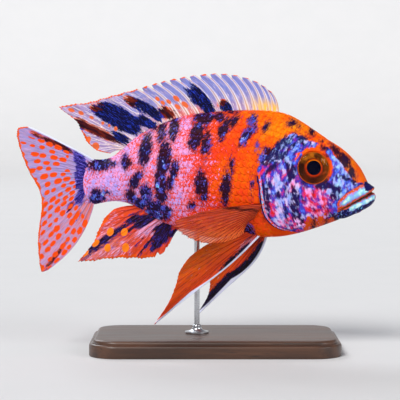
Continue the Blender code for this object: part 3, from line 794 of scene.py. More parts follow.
@dataclass
class Skin:
    """One continuous skin from the lips to the end of the tail stalk, with its mouth open."""

    form: BodyForm
    markings: Markings
    inset: float = 0.28
    rear_start: float = -47.0
    head_start: float = 17.0
    ring_counts: tuple[int, int, int] = (116, 132, 30)
    mouth_corner: tuple[float, float] = (52.4, 59.4)
    mouth_slope: float = 0.54
    mouth_open: float = 0.03
    upper_columns: int = 92
    lower_columns: int = 40
    inner_columns: int = 8
    tail_rings: int = 14
    lip_widths: tuple[float, float] = (4.5, 4.3)
    lip_height: float = 1.75
    lip_start: tuple[float, float] = (50.4, 54.0)
    far_from_lips: float = 9.0
    preopercle_step: float = 0.35
    orbit_depth: float = 3.4
    nostril: tuple[float, float] = (55.2, 73.2)
    nostril_radius: float = 0.62
    crease: Knots = ((46.5, 70.4), (50.0, 66.6), (52.6, 62.2))

    def mouth_plane(self, x: Array, z: Array) -> Array:
        """Distance above the sloping plane in which the lips meet."""
        rise = z - self.mouth_corner[1] - self.mouth_slope * (x - self.mouth_corner[0])
        return rise / math.hypot(1, self.mouth_slope)

    def stations(self) -> Array:
        """X of the rings: even on the trunk, closer on the head, and by a sine to the muzzle's tip.

        Returns:
            The places along the body.
        """
        start, end = self.form.muzzle_start, self.form.muzzle_end
        rear_count, head_count, tip_count = self.ring_counts
        rear = np.linspace(self.rear_start, self.head_start, rear_count, endpoint=False)
        head = np.linspace(self.head_start, start, head_count, endpoint=False)
        tip = np.sin(np.linspace(0, math.pi / 2, tip_count))
        return np.concatenate([rear, head, start + (end - start) * tip])

    def mouth_angles(self, x: Array) -> tuple[Array, Array]:
        """Angles at which each ring meets the upper and the lower edge of the mouth.

        Ahead of the corner the edges part at a small angle. Behind it both keep the corner's angle.

        Args:
            x: Places along the body.

        Returns:
            The upper and the lower edge's angles.
        """
        fine = np.linspace(0.02, math.pi - 0.02, 1200)
        ahead = np.maximum(x, self.mouth_corner[0])
        points = self.form.point(ahead[:, None], fine[None, :])
        plane = self.mouth_plane(points[..., 0], points[..., 2])
        gape = self.mouth_open * (ahead - self.mouth_corner[0])
        upper = np.array([np.interp(-open_by, -row, fine) for row, open_by in zip(plane, gape)])
        lower = np.array([np.interp(open_by, -row, fine) for row, open_by in zip(plane, gape)])
        return upper, lower

    def lip_width(self, x: Array, upper: bool) -> Array:
        """Width of a lip, less at the mouth's corner, and at the upper lip's tip."""
        front = 0.26 * ease(60, 65.5, x) if upper else 0.0
        return self.lip_widths[0 if upper else 1] * (0.7 + 0.3 * ease(49.5, 55, x)) * (1 - front)

    def displaced(self, points: Array, normal: Array, mouth: Array, upper: bool) -> Array:
        """Skin moved along its normal by lips, eye socket, cheek step, nostril and folds.

        A lip is half an ellipse across its width, with a groove at its outer edge. The socket is a
        bowl with a low rim. The cheek ends in a smooth step ahead of the gill cover.

        Args:
            points: Points, with three numbers in the last axis.
            normal: Outward directions.
            mouth: Distances from the mouth's edge.
            upper: True above the mouth.

        Returns:
            The moved points.
        """
        x, z = points[..., 0], points[..., 2]
        on_side = points[..., 1] > 1
        scaled, reach = ease(62, 40, x), ease(*self.lip_start, x)
        width = self.lip_width(x, upper)
        share = mouth / width
        swollen = np.sqrt(np.clip(1 - (2 * share - 1) ** 2, 0, 1)) * (0.5 + 0.5 * ease(52, 60, x)) * reach
        if upper:
            swollen = swollen * (1 - 0.5 * ease(60, 64.5, x) * ease(0.3, 0.8, share))
        lift = -self.inset * scaled
        lift -= 0.26 * bell(0.25, 0.4, mouth - width) * reach * ease(66, 61, x)
        lift += 0.35 * bell(1.6, 0.9, mouth - width) * reach * ease(64.5, 58, x)
        eye = away_from(EYE_PLACE, x, z)
        lift -= self.orbit_depth * np.sqrt(np.clip(1 - (eye / EYE_RADIUS) ** 2, 0, 1)) * on_side
        lift += 0.34 * bell(0.55, 0.5, eye - EYE_RADIUS) * on_side
        step, place = line_distance(x, z, along(GILL_COVER_FRONT, 15))
        inside = ease(0.0, 0.06, place) * ease(1.0, 0.94, place)
        fall = np.exp(-(np.clip(step - 0.6, 0, None) / 3.2))
        lift += self.preopercle_step * fall * ease(-0.2, 0.5, step) * inside
        lift -= 0.16 * bell(0, 0.45, line_distance(x, z, along(self.crease, 8))[0])
        nose = away_from(self.nostril, x, z)
        lift += 0.22 * bell(0.15, 0.25, nose - self.nostril_radius) * on_side
        lift -= 0.75 * np.exp(-((nose / (0.75 * self.nostril_radius)) ** 4)) * on_side
        lift += 0.05 * swell(points, 4.0, 11) * scaled
        level = unit(normal * (1.0, 1.0, 0.4))
        return points + normal * lift[..., None] + level * (self.lip_height * swollen)[..., None]

    def outside(self, x: Array, angle: Array, upper: bool) -> tuple[Array, Array]:
        """Outer skin of the upper or lower part of each ring, displaced, and its place across the lip.

        Args:
            x: Places along the body.
            angle: Angles round each ring.
            upper: True above the mouth.

        Returns:
            The points, and their places across the lip.
        """
        points = self.form.point(x[:, None], angle)
        normal = unit(np.cross(np.gradient(points, axis=1), np.gradient(points, axis=0)))
        outward = stack(3.0, points[..., 1], points[..., 2] - 68)
        normal *= np.sign((normal * outward).sum(-1, keepdims=True))
        normal[-1] = (1.0, 0.0, 0.0)
        normal[:, 0 if upper else -1, 1] = 0
        plane = np.abs(self.mouth_plane(points[..., 0], points[..., 2]))
        gape = self.mouth_open * np.clip(points[..., 0] - self.mouth_corner[0], 0, None)
        mouth = np.where(x[:, None] < self.mouth_corner[0], plane, np.clip(plane - gape, 0, None))
        return self.displaced(points, normal, mouth, upper), mouth / self.lip_width(points[..., 0], upper)

    def mouth_inside(self, edge: Array, upper: bool) -> Array:
        """Roof or floor of the mouth: straight from the lip's edge to the middle line, arched.

        Args:
            edge: Points of the lip's edge.
            upper: True above the mouth.

        Returns:
            The points, in rows from the edge inwards.
        """
        share = np.linspace(0, 1, self.inner_columns + 1)[1:][None, :]
        corner_x, corner_z = self.mouth_corner
        gone = edge[:, None, 0] - corner_x
        ahead = gone / (edge[-1, 0] - corner_x)
        x = corner_x + gone * (1 - 0.75 * share)
        plane = corner_z + self.mouth_slope * (x - corner_x)
        arch = 1.1 * np.sin(share * math.pi / 2) * ahead * (1 if upper else -1) * (1 - share * 0.6)
        start = edge[:, None, 2] - (corner_z + self.mouth_slope * gone)
        return stack(x, edge[:, None, 1] * (1 - share), plane + start * (1 - share) + arch)

    def build(self, material: Material) -> None:
        """Builds the left half of the skin, mirrors it and welds both.

        Args:
            material: Finish of the piece.
        """
        x = self.stations()
        upper_edge, lower_edge = (edge[:, None] for edge in self.mouth_angles(x))
        bias = np.linspace(0, 1, self.upper_columns + 1) ** 0.9
        low = np.linspace(0, 1, self.lower_columns + 1)
        upper, upper_lip = self.outside(x, upper_edge * bias[None, :], True)
        lower, lower_lip = self.outside(x, lower_edge + (math.pi - lower_edge) * low, False)
        shared = x <= self.mouth_corner[0]
        seam = 0.5 * (upper[shared, -1] + lower[shared, 0])
        upper[shared, -1] = seam
        lower[shared, 0] = seam
        first = int(np.argmax(~shared)) - 1
        roof = self.mouth_inside(upper[first:, -1], True)
        floor = self.mouth_inside(lower[first:, 0], False)
        floor[0] = roof[0]
        roof = np.concatenate([upper[first:, -1:], roof], axis=1)
        floor = np.concatenate([lower[first:, :1], floor], axis=1)
        pieces = (self.tail_end(upper), self.tail_end(lower), roof, floor)
        starts = np.cumsum([0, *(piece.size // 3 for piece in pieces)])
        faces = np.concatenate([grid_faces(*piece.shape[:2], at) for piece, at in zip(pieces, starts)])
        half = np.concatenate([piece.reshape(-1, 3) for piece in pieces])
        points = np.concatenate([half, half * (1, -1, 1)])
        inner = np.tile(np.linspace(0, 1, self.inner_columns + 1), len(roof))
        far = np.full((self.tail_rings + 1, 1), self.far_from_lips)
        lips = [
            sign * np.concatenate([far + 0 * lip[:1], lip]).ravel()
            for lip, sign in ((upper_lip, 1), (lower_lip, -1))
        ]
        place = np.concatenate([*lips, 0 * inner - 0.01, 0 * inner + 0.01])
        coat = Coat.of(self.markings, points)
        self.paint_lips(coat, points, np.tile(place, 2))
        # Painted shade: the roof and floor of the mouth darken inwards from the lips' edge.
        depth = np.tile(np.concatenate([0 * lips[0], 0 * lips[1], inner, inner]), 2)
        coat.shade *= 1 - 0.9 * ease(0.02, 0.4, depth)
        mesh = build_mesh("skin", points, doubled(faces, len(half)), coat.attributes())
        add_piece(mesh, material, Slot.SKIN, ["head", "lower_jaw", "trunk", "tail_stalk"])

    def paint_lips(self, coat: Coat, points: Array, place: Array) -> None:
        """Paints the nostrils and both lips, with painted highlights on them and painted shade at the slit.

        Args:
            coat: Paint that is changed.
            points: Points of the skin.
            place: Place across the lips: 0 at the slit, 1 at the upper lip's far edge, -1 at the lower's.
        """
        x, z = points[:, 0], points[:, 2]
        ragged = 0.10 * swell(points, 1.2, 61)
        up, down = place + ragged, -place + ragged
        nose = away_from(self.nostril, x, z)
        coat.ink += 0.6 * bell(1.0, 0.35, nose)
        coat.frost += 0.5 * ease(0.7, 0.3, nose)
        throat = ease(58, 55, z - 0.1 * (x - 40)) * ease(34, 40, x)
        coat.shade *= 1 - 0.2 * ease(52, 59, x) * ease(68, 73, z) - 0.22 * throat
        lip = ease(50.2, 51.6, x) * ease(1.16, 1.0, np.abs(place))
        upper, lower = lip * (place > 0), lip * (place <= 0)
        # Each lip's turquoise band is its colour; the whiter middle on its crest is a painted highlight.
        turquoise_and_highlight = upper * ease(0.18, 0.46, up) * ease(0.94, 0.62, up)
        turquoise_and_highlight *= ease(64.8, 62.8, x + ragged * 8) * ease(51.5, 53.5, x)
        low = lower * ease(0.06, 0.24, down) * ease(0.54, 0.36, down)
        low *= ease(54.6, 56.6, x) * ease(67.6, 66.0, x)
        black = (place > 0) * ease(61.4, 62.8, x) * ease(0.36, 0.5, up) * ease(1.42, 1.2, place)
        lip = np.maximum(lip, black)
        navy = np.maximum(ease(0.40, 0.52, down), ease(56.6, 55.0, x) * ease(0.10, 0.22, down))
        turquoise_and_highlight, ink = np.maximum(turquoise_and_highlight, low), np.maximum(black, lower * navy * ease(67.7, 67.4, x))
        coat.blush = blend(coat.blush, 0.36, lip)
        coat.ink = blend(coat.ink, 0.5 + (1.5 * ink - (1.1 + 3.4 * turquoise_and_highlight) * (1 - ink)) / INK_RANGE, lip)
        coat.frost = blend(coat.frost, 0.46 + 0.9 * turquoise_and_highlight, lip)
        coat.spark = blend(coat.spark, np.where(lower > 0, 0.50 - 0.12 * ease(56, 64, x), 0.10), ink)
        # Bluer and whiter towards the band's middle: lip colour with a painted highlight.
        azure_and_highlight = (0.56 + 0.36 * turquoise_and_highlight + 0.10 * swell(points, 1.1, 62)) * (turquoise_and_highlight > 0)
        coat.azure = blend(coat.azure, np.maximum(azure_and_highlight, np.where(ink > 0.5, 0.75, 0.02)), lip)
        coat.mosaic *= 1 - lip
        # Painted shade along the slit between the lips and on into the mouth.
        slit = ease(0.16, 0.02, np.abs(place))
        coat.shade *= 1 - 0.24 * lip * (1 - turquoise_and_highlight) * (1 - ink) - 0.4 * lip * slit

    def tail_end(self, rings: Array) -> Array:
        """Rings continued over the stalk to its bulging rear edge and closed on the plane of symmetry.

        Each added ring moves a share of the way to the edge, and the last has its width drawn to 0.

        Args:
            rings: Rings of the trunk.

        Returns:
            All rings.
        """
        share = np.linspace(0, 1, self.tail_rings + 1)[:-1][:, None]
        first_x, first_y, first_z = rings[0].T
        x = blend(self.form.stalk_edge(first_z), first_x, share)
        top, bottom, middle, wide, _, _ = self.form.section(x)
        first_top, first_bottom, first_middle, first_wide, _, _ = self.form.section(first_x)
        above = first_z >= first_middle
        first_height = np.where(above, first_top - first_middle, first_middle - first_bottom)
        part = (first_z - first_middle) / first_height
        z = middle + part * np.where(above, top - middle, middle - bottom)
        added = stack(x, first_y * wide / first_wide, z)
        closed = added[:1] * (1, 0, 1) - (0.3, 0, 0)
        return np.concatenate([closed, added, rings])


def linear(colour: Sequence[float]) -> tuple[float, ...]:
    """Linear colour, with alpha, from display values of 0 to 255."""
    parts = [part / 255 for part in colour]
    return (*(part / 12.92 if part <= 0.04045 else ((part + 0.055) / 1.055) ** 2.4 for part in parts), 1.0)


@dataclass(frozen=True)
class Wire:
    """Output of a node, with short calls that add nodes behind it."""

    graph: Graph
    socket: NodeSocket

    def __add__(self, other: Source) -> Wire:
        """Sum with a wire or number."""
        return self.graph.math("ADD", self, other)

    def __sub__(self, other: Source) -> Wire:
        """The wire less a wire or number."""
        return self.graph.math("SUBTRACT", self, other)

    def __rsub__(self, other: float) -> Wire:
        """A number less the wire."""
        return self.graph.math("SUBTRACT", other, self)

    def __mul__(self, other: Source) -> Wire:
        """Product with a wire or number."""
        return self.graph.math("MULTIPLY", self, other)

    def most(self, other: Source) -> Wire:
        """The greater of the wire and another."""
        return self.graph.math("MAXIMUM", self, other)

    def off(self, size: float) -> Wire:
        """A value of 0 to 1, moved to lie round 0 and scaled."""
        return (self - 0.5) * size

    def clamped(self) -> Wire:
        """The sum, kept from 0 to 1."""
        self.socket.node.use_clamp = True
        return self

    def step(self, low: float, high: float) -> Wire:
        """Smooth step from 0 at low to 1 at high.

        Args:
            low: Where the step leaves 0.
            high: Where it reaches 1.

        Returns:
            The step.
        """
        node = self.graph.node("ShaderNodeMapRange", interpolation_type="SMOOTHSTEP")
        for key, source in (("Value", self), ("From Min", low), ("From Max", high)):
            self.graph.feed(node.inputs[key], source)
        return Wire(self.graph, node.outputs["Result"])

    def ramp(self, *stops: tuple[float, ...]) -> Wire:
        """Colour ramp through stops of a place and a display colour.

        Args:
            stops: Places from 0 to 1, each with three display values.

        Returns:
            The colour.
        """
        node = self.graph.node("ShaderNodeValToRGB")
        self.graph.feed(node.inputs[0], self)
        for _ in stops[2:]:
            node.color_ramp.elements.new(0.5)
        for element, (place, *colour) in zip(node.color_ramp.elements, stops):
            element.position = place
            element.color = linear(colour)
        return Wire(self.graph, node.outputs[0])

    def parts(self) -> tuple[Wire, ...]:
        """The three numbers of a vector.

        Returns:
            A wire for each number.
        """
        node = self.graph.node("ShaderNodeSeparateXYZ")
        self.graph.feed(node.inputs[0], self)
        return tuple(Wire(self.graph, socket) for socket in node.outputs)

    def noise(self, size: Sequence[float], shift: float = 0.0, detail: float = 2.0) -> Wire:
        """Noise over a vector, with features of the given sizes in its own units, from 0 to 1.

        Args:
            size: Size of the features along each axis.
            shift: Moves the noise.
            detail: Finer layers of noise.

        Returns:
            The noise.
        """
        mapping, cloud = self.graph.node("ShaderNodeMapping"), self.graph.node("ShaderNodeTexNoise")
        self.graph.feed(mapping.inputs["Vector"], self)
        self.graph.feed(mapping.inputs["Location"], (shift, shift, shift))
        self.graph.feed(mapping.inputs["Scale"], [1 / part for part in size])
        self.graph.feed(cloud.inputs["Vector"], Wire(self.graph, mapping.outputs[0]))
        self.graph.feed(cloud.inputs["Scale"], 1.0)
        self.graph.feed(cloud.inputs["Detail"], detail)
        return Wire(self.graph, cloud.outputs["Fac"])


Source = Wire | float | Sequence[float]


class Graph:
    """Short calls that add and join nodes of one node tree."""

    def __init__(self, tree: NodeTree) -> None:
        """Starts on an existing tree."""
        self.tree = tree

    def node(self, kind: str, **settings: object) -> Node:
        """Adds a node and sets its properties.

        Args:
            kind: Type of the node.
            settings: Its properties.

        Returns:
            The node.
        """
        node = self.tree.nodes.new(kind)
        for key, value in settings.items():
            setattr(node, key, value)
        return node

    def feed(self, socket: NodeSocket, source: Source) -> None:
        """Joins a socket to a wire or sets its value, a colour's as display values.

        Args:
            socket: Input to set.
            source: Wire, number, vector or colour.
        """
        if isinstance(source, Wire):
            self.tree.links.new(source.socket, socket)
        else:
            socket.default_value = linear(source) if socket.type == "RGBA" else source

    def math(self, operation: str, *sources: Source) -> Wire:
        """Math node on wires or numbers.

        Args:
            operation: Name of the operation.
            sources: Wires or numbers.

        Returns:
            The result.
        """
        node = self.node("ShaderNodeMath", operation=operation)
        for socket, source in zip(node.inputs, sources):
            self.feed(socket, source)
        return Wire(self, node.outputs[0])

    def mix(self, share: Source, first: Source, second: Source, blend_type: str = "MIX") -> Wire:
        """Mix of two colours by a share.

        Args:
            share: Share of the second.
            first: Colour at 0.
            second: Colour at 1.
            blend_type: Way of mixing.

        Returns:
            The colour.
        """
        node = self.node("ShaderNodeMix", data_type="RGBA", blend_type=blend_type)
        for number, source in ((0, share), (6, first), (7, second)):
            self.feed(node.inputs[number], source)
        return Wire(self, node.outputs[2])

    def cloud(self, size: float, detail: float, stretch: Sequence[float] = (1, 1, 1)) -> Wire:
        """Noise over the object's coordinates, with features of about size millimetres over stretch."""
        where = Wire(self, self.node("ShaderNodeTexCoord").outputs["Object"])
        return where.noise([size * MM / part for part in stretch], detail=detail)

    def attribute(self, name: str) -> Wire:
        """An attribute of the mesh, as a vector."""
        return Wire(self, self.node("ShaderNodeAttribute", attribute_name=name).outputs["Vector"])

    def group(self, group: Group, **values: Source) -> dict[str, Wire]:
        """Places a node group, feeds its inputs and gives its outputs.

        Args:
            group: Group to place.
            values: Source for each of its inputs.

        Returns:
            A wire for each output, by its name.
        """
        node = self.node("ShaderNodeGroup", node_tree=group.tree)
        for key, value in values.items():
            self.feed(node.inputs[key], value)
        return {socket.name: Wire(self, socket) for socket in node.outputs}


class Group(Graph):
    """Graph of a new node group."""

    def __init__(self, name: str, **inputs: str) -> None:
        """Makes the group and its inputs: for each kind of socket, their names with spaces between.

        Args:
            name: Name of the group.
            inputs: Names for each kind of socket.
        """
        super().__init__(bpy.data.node_groups.new(name, "ShaderNodeTree"))
        for kind, names in inputs.items():
            for key in names.split():
                self.tree.interface.new_socket(key, in_out="INPUT", socket_type="NodeSocket" + kind)
        given = self.node("NodeGroupInput").outputs
        self.take = SimpleNamespace(**{socket.name: Wire(self, socket) for socket in given if socket.name})

    def give(self, **outputs: Wire) -> Group:
        """Ends the group in named outputs, of which color is a colour and all others are numbers.

        Args:
            outputs: Wire for each output.

        Returns:
            The group.
        """
        for key in outputs:
            kind = "NodeSocketColor" if key == "color" else "NodeSocketFloat"
            self.tree.interface.new_socket(key, in_out="OUTPUT", socket_type=kind)
        end = self.node("NodeGroupOutput")
        for key, wire in outputs.items():
            self.feed(end.inputs[key], wire)
        return self


class Surface(Graph):
    """Graph of a new material round its Principled shader."""

    def __init__(self, name: str) -> None:
        """Makes the material.

        Args:
            name: Name of the material.
        """
        self.material = bpy.data.materials.new(name)
        self.material.use_nodes = True
        super().__init__(self.material.node_tree)

    def finish(self, height: Wire | None = None, depth: float = 0.0, **values: Source) -> Material:
        """Feeds the shader.

        Args:
            height: Bump from 0 to 1, if any.
            depth: The bump's depth in millimetres.
            values: Sources for the shader's sockets, with underscores for spaces in their names.

        Returns:
            The material.
        """
        shader = self.tree.nodes["Principled BSDF"]
        for key, value in values.items():
            self.feed(shader.inputs[key.replace("_", " ")], value)
        if height:
            bump = self.node("ShaderNodeBump")
            self.feed(bump.inputs["Distance"], depth * MM)
            self.feed(bump.inputs["Height"], height)
            self.feed(shader.inputs["Normal"], Wire(self, bump.outputs["Normal"]))
        return self.material


class Effects:
    """Node groups that more than one finish places, each built once."""

    hide_fields: str = "blush ink frost spark azure mosaic along across shade"
    web_fields: str = "warm ink spot ray rim lace"
    web_colours: str = "ray_colour lace_colour ink_colour fleck_colour spot_colour"

    def __init__(self) -> None:
        """Builds the groups."""
        self.hide_group = self.build_hide()
        self.web_group = self.build_web()
        wet = Group("wet_sheen", Float="base pale")
        rough = wet.take.base + wet.cloud(3.0, 3.0).off(0.2)
        self.wet_group = wet.give(roughness=(rough - wet.take.pale * 0.12).clamped())

    def build_hide(self) -> Group:
        """Colour of the blotched skin and scales from the markings' fields.

        The ground goes from yellow through orange and red to pink by blush. Pale flecks lie at each
        scale's rear half and in streaks of noise, as many as frost sets. Ink is a depth in
        millimetres with ragged noise added, and bright flecks lie on it by spark. Mosaic changes all
        to streaked violet, blue and rose with dark veins and pale glows.

        Returns:
            The group.
        """
        group = Group("blotched_hide", Float=self.hide_fields, Vector="grain")
        take, mix, noise = group.take, group.mix, group.take.grain.noise
        azure = take.azure
        streak, broad, speck = noise((0.6, 1.5, 1.4)), noise((3.0, 3.0, 4.0)), noise((0.45, 0.45, 0.6))
        mote, hue = noise((0.45, 1.0, 0.85), 13.0), noise((1.8, 1.8, 2.6), 31.0)
        glow, gleam = noise((0.85, 1.5, 1.8), 57.0), noise((1.3, 1.5, 2.3), 71.0)
        vein = noise((1.5, 1.8, 3.4), 83.0)
        colour = (take.blush + streak.off(0.5) + broad.off(0.25) + speck.off(0.3)).ramp(
            (0.0, 255, 165, 10), (0.2, 250, 120, 6), (0.4, 246, 82, 8), (0.6, 240, 56, 22),
            (0.8, 240, 84, 72), (1.0, 226, 100, 126),
        )
        ahead = (take.along + take.across.off(0.5) - 0.72) * (1 / 0.15)
        aside = (take.across - 0.5) * (1 / 0.36)
        oval = (1.0 - group.math("SQRT", ahead * ahead + aside * aside)).clamped()
        pale = (mote.off(1.4) + speck.off(0.6) + oval * 0.16 - 0.05 + take.frost - 0.5).step(-0.06, 0.14)
        pale_colour = (azure + hue.off(0.8)).clamped().ramp(
            (0.0, 255, 150, 160), (0.26, 238, 166, 226), (0.46, 196, 168, 250), (0.64, 130, 160, 255),
            (0.78, 110, 200, 248), (0.90, 140, 238, 246), (1.0, 226, 255, 255),
        )
        colour = mix(pale * 0.88, colour, pale_colour)
        depth = take.ink.off(INK_RANGE)
        edge = depth + (streak.off(3.0) + speck.off(1.6) + broad.off(2.0)) - 0.02
        colour = mix(edge.step(-1.3, 0.2) * 0.5, colour, mix(azure, (120, 26, 12), (92, 34, 92)))
        dark = (azure * 0.6 + broad * 0.5).ramp(
            (0.2, 66, 12, 12), (0.38, 50, 12, 34), (0.52, 32, 16, 62), (0.8, 20, 20, 84),
        )
        bright = (glow.off(1.0) + mote.off(1.3) + take.spark - 0.60).step(0.0, 0.10)
        bright_colour = (azure * 0.7 + hue.off(1.8) + speck.off(0.5) + 0.15).clamped().ramp(
            (0.0, 120, 60, 130), (0.25, 94, 66, 164), (0.45, 70, 76, 196), (0.65, 92, 120, 236),
            (0.85, 170, 184, 250), (1.0, 90, 200, 255),
        )
        inked = edge.step(-0.4, 0.6)
        colour = mix(inked, colour, mix(bright * 0.9, dark, bright_colour))
        mottled = (azure + hue.off(1.6) + speck.off(0.4)).clamped().ramp(
            (0.0, 228, 34, 40), (0.20, 226, 50, 116), (0.40, 118, 50, 172), (0.58, 62, 54, 190),
            (0.80, 84, 118, 250), (1.0, 120, 165, 255),
        )
        murk = (vein.off(1.5) + speck.off(0.25) + (depth * 0.5).most(-0.17) + 0.04).step(-0.22, 0.26)
        mottled = mix(murk * 0.92, mottled, (26, 12, 58))
        shine = (gleam.off(2.0) + mote.off(0.3) + take.frost - 0.5).step(-0.20, 0.36)
        mottled = mix(shine * 0.92, mottled, (azure + hue.off(0.8)).clamped().ramp(
            (0.0, 255, 116, 160), (0.26, 255, 168, 240), (0.46, 222, 204, 255), (0.62, 160, 176, 255),
            (0.8, 168, 212, 255), (1.0, 210, 246, 255),
        ))
        colour = mix((take.mosaic + streak.off(0.8) + hue.off(0.6)).step(0.35, 0.65), colour, mottled)
        shade = take.shade * (speck * 0.28 + 0.76 + streak * 0.2)
        return group.give(color=mix(1.0, colour, shade, "MULTIPLY"), pale=pale.most(bright * inked),
                          height=streak * 0.6 + speck * 0.4)

    def build_web(self) -> Group:
        """Colour of a fin's membrane and rays.

        The membrane goes from lavender blue to orange by warm. Streaks of noise follow the rays, on
        the flow attribute, whose third number is the share of a white edge, or below 0 of gold. Ink,
        spots and rim are thresholds of their own fields with ragged edges.

        Returns:
            The group.
        """
        group = Group("fin_web", Float=self.web_fields + " ray_share line_share", Vector="flow",
                      Color=self.web_colours)
        take, mix, noise = group.take, group.mix, group.take.flow.noise
        fine, broad = noise((0.12, 0.24, 1e3)), noise((0.42, 0.5, 1e3), 17.0)
        grain, thread = noise((0.07, 0.045, 1e3), 29.0), noise((0.06, 0.5, 1e3), 43.0)
        colour = (take.warm + fine.off(0.3) + broad.off(0.3)).ramp(
            (0.0, 110, 132, 214), (0.2, 148, 144, 208), (0.38, 194, 150, 190), (0.55, 226, 112, 96),
            (0.70, 230, 70, 30), (0.86, 228, 84, 12), (1.0, 200, 88, 10),
        )
        colour = mix(thread.step(0.54, 0.36) * 0.7, colour, mix(0.5, colour, (70, 40, 70)))
        laced = (fine * 0.5 + thread * 0.5 - (0.62 - take.lace * 0.2)).step(0.0, 0.12)
        colour = mix(laced * 0.85, colour, take.lace_colour)
        ray = take.ray.step(0.25, 0.9)
        colour = mix(ray * take.ray_share, colour, take.ray_colour)
        colour = mix(take.ray.step(0.84, 0.98) * take.line_share, colour, (176, 84, 40))
        spotted = (take.spot + fine.off(0.16)).step(0.46, 0.57)
        colour = mix(spotted, colour, take.spot_colour)
        rimmed = (take.rim + grain.off(0.6)).step(0.35, 0.65)
        colour = mix(rimmed, colour, (232, 84, 16))
        inked = (take.ink.off(INK_RANGE) + fine.off(3.0) + grain.off(1.6)).step(-0.1, 0.3) * (1.0 - spotted)
        flecked = (grain.off(0.9) + fine.off(0.9) + broad.off(0.5) - 0.02).step(0.02, 0.16)
        brown = mix(broad.step(0.40, 0.66), (44, 8, 26), (108, 28, 18))
        dark = mix(take.warm.step(0.84, 0.92), mix(flecked, take.ink_colour, take.fleck_colour), brown)
        colour = mix(inked, colour, dark)
        _, length, white = take.flow.parts()
        colour = mix(white, colour, (226, 230, 255))
        colour = mix(white.step(0.0, -1.0) * broad.step(0.75, 0.35), colour, (250, 196, 66))
        cover = ray.most(inked).most(spotted.most(rimmed)).most(length.step(2.6, 0.5) * 0.9)
        return group.give(color=colour, cover=cover, height=fine * 0.6 + grain * 0.4)


@dataclass(frozen=True)
class HideFinish:
    """Wet blotched skin or scales, from the attributes of a Coat."""

    name: str
    roughness: float = 0.42
    coat: float = 0.04
    bump: float = 0.05

    def build(self, effects: Effects) -> Material:
        """Reads the markings and the scales' own coordinates from attributes.

        Args:
            effects: Gives the node groups of the hide and the wet sheen.

        Returns:
            The material.
        """
        face = Surface(self.name)
        parts = [part for key in ("tone", "glint", "plate") for part in face.attribute(key).parts()]
        fields = dict(zip(effects.hide_fields.split(), parts))
        look = face.group(effects.hide_group, grain=face.attribute("grain"), **fields)
        wet = face.group(effects.wet_group, base=self.roughness, pale=look["pale"])
        return face.finish(look["height"], self.bump, Base_Color=look["color"], Roughness=wet["roughness"],
                           Coat_Weight=self.coat, Coat_Roughness=0.22, Specular_IOR_Level=0.06)


@dataclass(frozen=True)
class WebFinish:
    """Thin wet membrane between rays, from the attributes of a Fin.

    The bare web stops the share alpha of the light. The rays take on their colour by ray_share, with
    a brown line on them by line_share.
    """

    name: str
    ray_colour: Colour
    lace_colour: Colour
    ink_colour: Colour = (12, 7, 42)
    fleck_colour: Colour = (34, 56, 184)
    spot_colour: Colour = (240, 76, 14)
    ray_share: float = 0.75
    line_share: float = 0.0
    alpha: float = 1.0
    roughness: float = 0.42

    def build(self, effects: Effects) -> Material:
        """Reads the markings and rays from attributes, and is see-through only in the bare web.

        Args:
            effects: Gives the node groups of the web and the wet sheen.

        Returns:
            The material.
        """
        face = Surface(self.name)
        parts = [part for key in ("web", "ray") for part in face.attribute(key).parts()]
        fields = dict(zip(effects.web_fields.split(), parts))
        colours = {key: getattr(self, key) for key in effects.web_colours.split()}
        look = face.group(effects.web_group, flow=face.attribute("flow"), ray_share=self.ray_share,
                          line_share=self.line_share, **fields, **colours)
        wet = face.group(effects.wet_group, base=self.roughness, pale=0.0)
        solid = 1.0 - (1.0 - look["cover"]) * (1 - self.alpha) if self.alpha < 1 else 1.0
        return face.finish(look["height"], 0.08, Base_Color=look["color"], Roughness=wet["roughness"],
                           Alpha=solid, Coat_Weight=0.03, Coat_Roughness=0.3, Specular_IOR_Level=0.08)


@dataclass(frozen=True)
class IrisFinish:
    """Painted eye: dark pupil, bright orange ring, and a brown and gold iris."""

    name: str = "painted_iris"

    def build(self) -> Material:
        """Reads the dial attribute: radius, and the cosine and sine of the turn.

        Returns:
            The material.
        """
        face = Surface(self.name)
        mix = face.mix
        radius, cosine, sine = face.attribute("dial").parts()
        join = face.node("ShaderNodeCombineXYZ")
        for socket, source in zip(join.inputs, (cosine * 26.0, sine * 26.0, radius * 5.0)):
            face.feed(socket, source)
        spokes, cloud = Wire(face, join.outputs[0]).noise((1, 1, 1), detail=3.0), face.cloud(2.6, 3.0)
        place = radius + spokes.off(0.05)
        colour = place.ramp(
            (0.0, 6, 9, 32), (0.296, 8, 10, 36), (0.306, 60, 14, 6), (0.35, 90, 20, 6), (0.374, 178, 44, 14),
            (0.40, 50, 18, 8), (0.53, 84, 38, 12), (0.60, 92, 48, 14), (0.636, 90, 34, 14),
            (0.652, 230, 96, 24), (0.668, 230, 96, 24), (0.675, 60, 26, 14),
        )
        ring = mix(sine.step(0.4, 1.0), (236, 62, 0), (250, 128, 0))
        colour = mix(place.step(0.308, 0.314) * place.step(0.348, 0.338), colour, ring)
        band = radius.step(0.38, 0.45) * radius.step(0.66, 0.62)
        gold = (cloud + spokes.off(0.5)).step(0.44, 0.66)
        colour = mix(gold * band * (sine.step(0.45, 0.95) * 0.8 + 0.2), colour, (190, 104, 16))
        rusty = (cloud.off(1.6) + (0.5 - sine) * 0.8).step(0.10, 0.40)
        colour = mix(rusty * band * 0.5, colour, (190, 66, 16))
        dark = (cosine.off(-0.8) + cloud.off(1.0) + sine.off(-0.9)).step(0.0, 0.3)
        colour = mix(dark * band * 0.75, colour, (24, 10, 12))
        return face.finish(spokes, 0.02, Base_Color=colour, Roughness=spokes * 0.2 + 0.25, Coat_Weight=0.0,
                           Specular_IOR_Level=0.0)


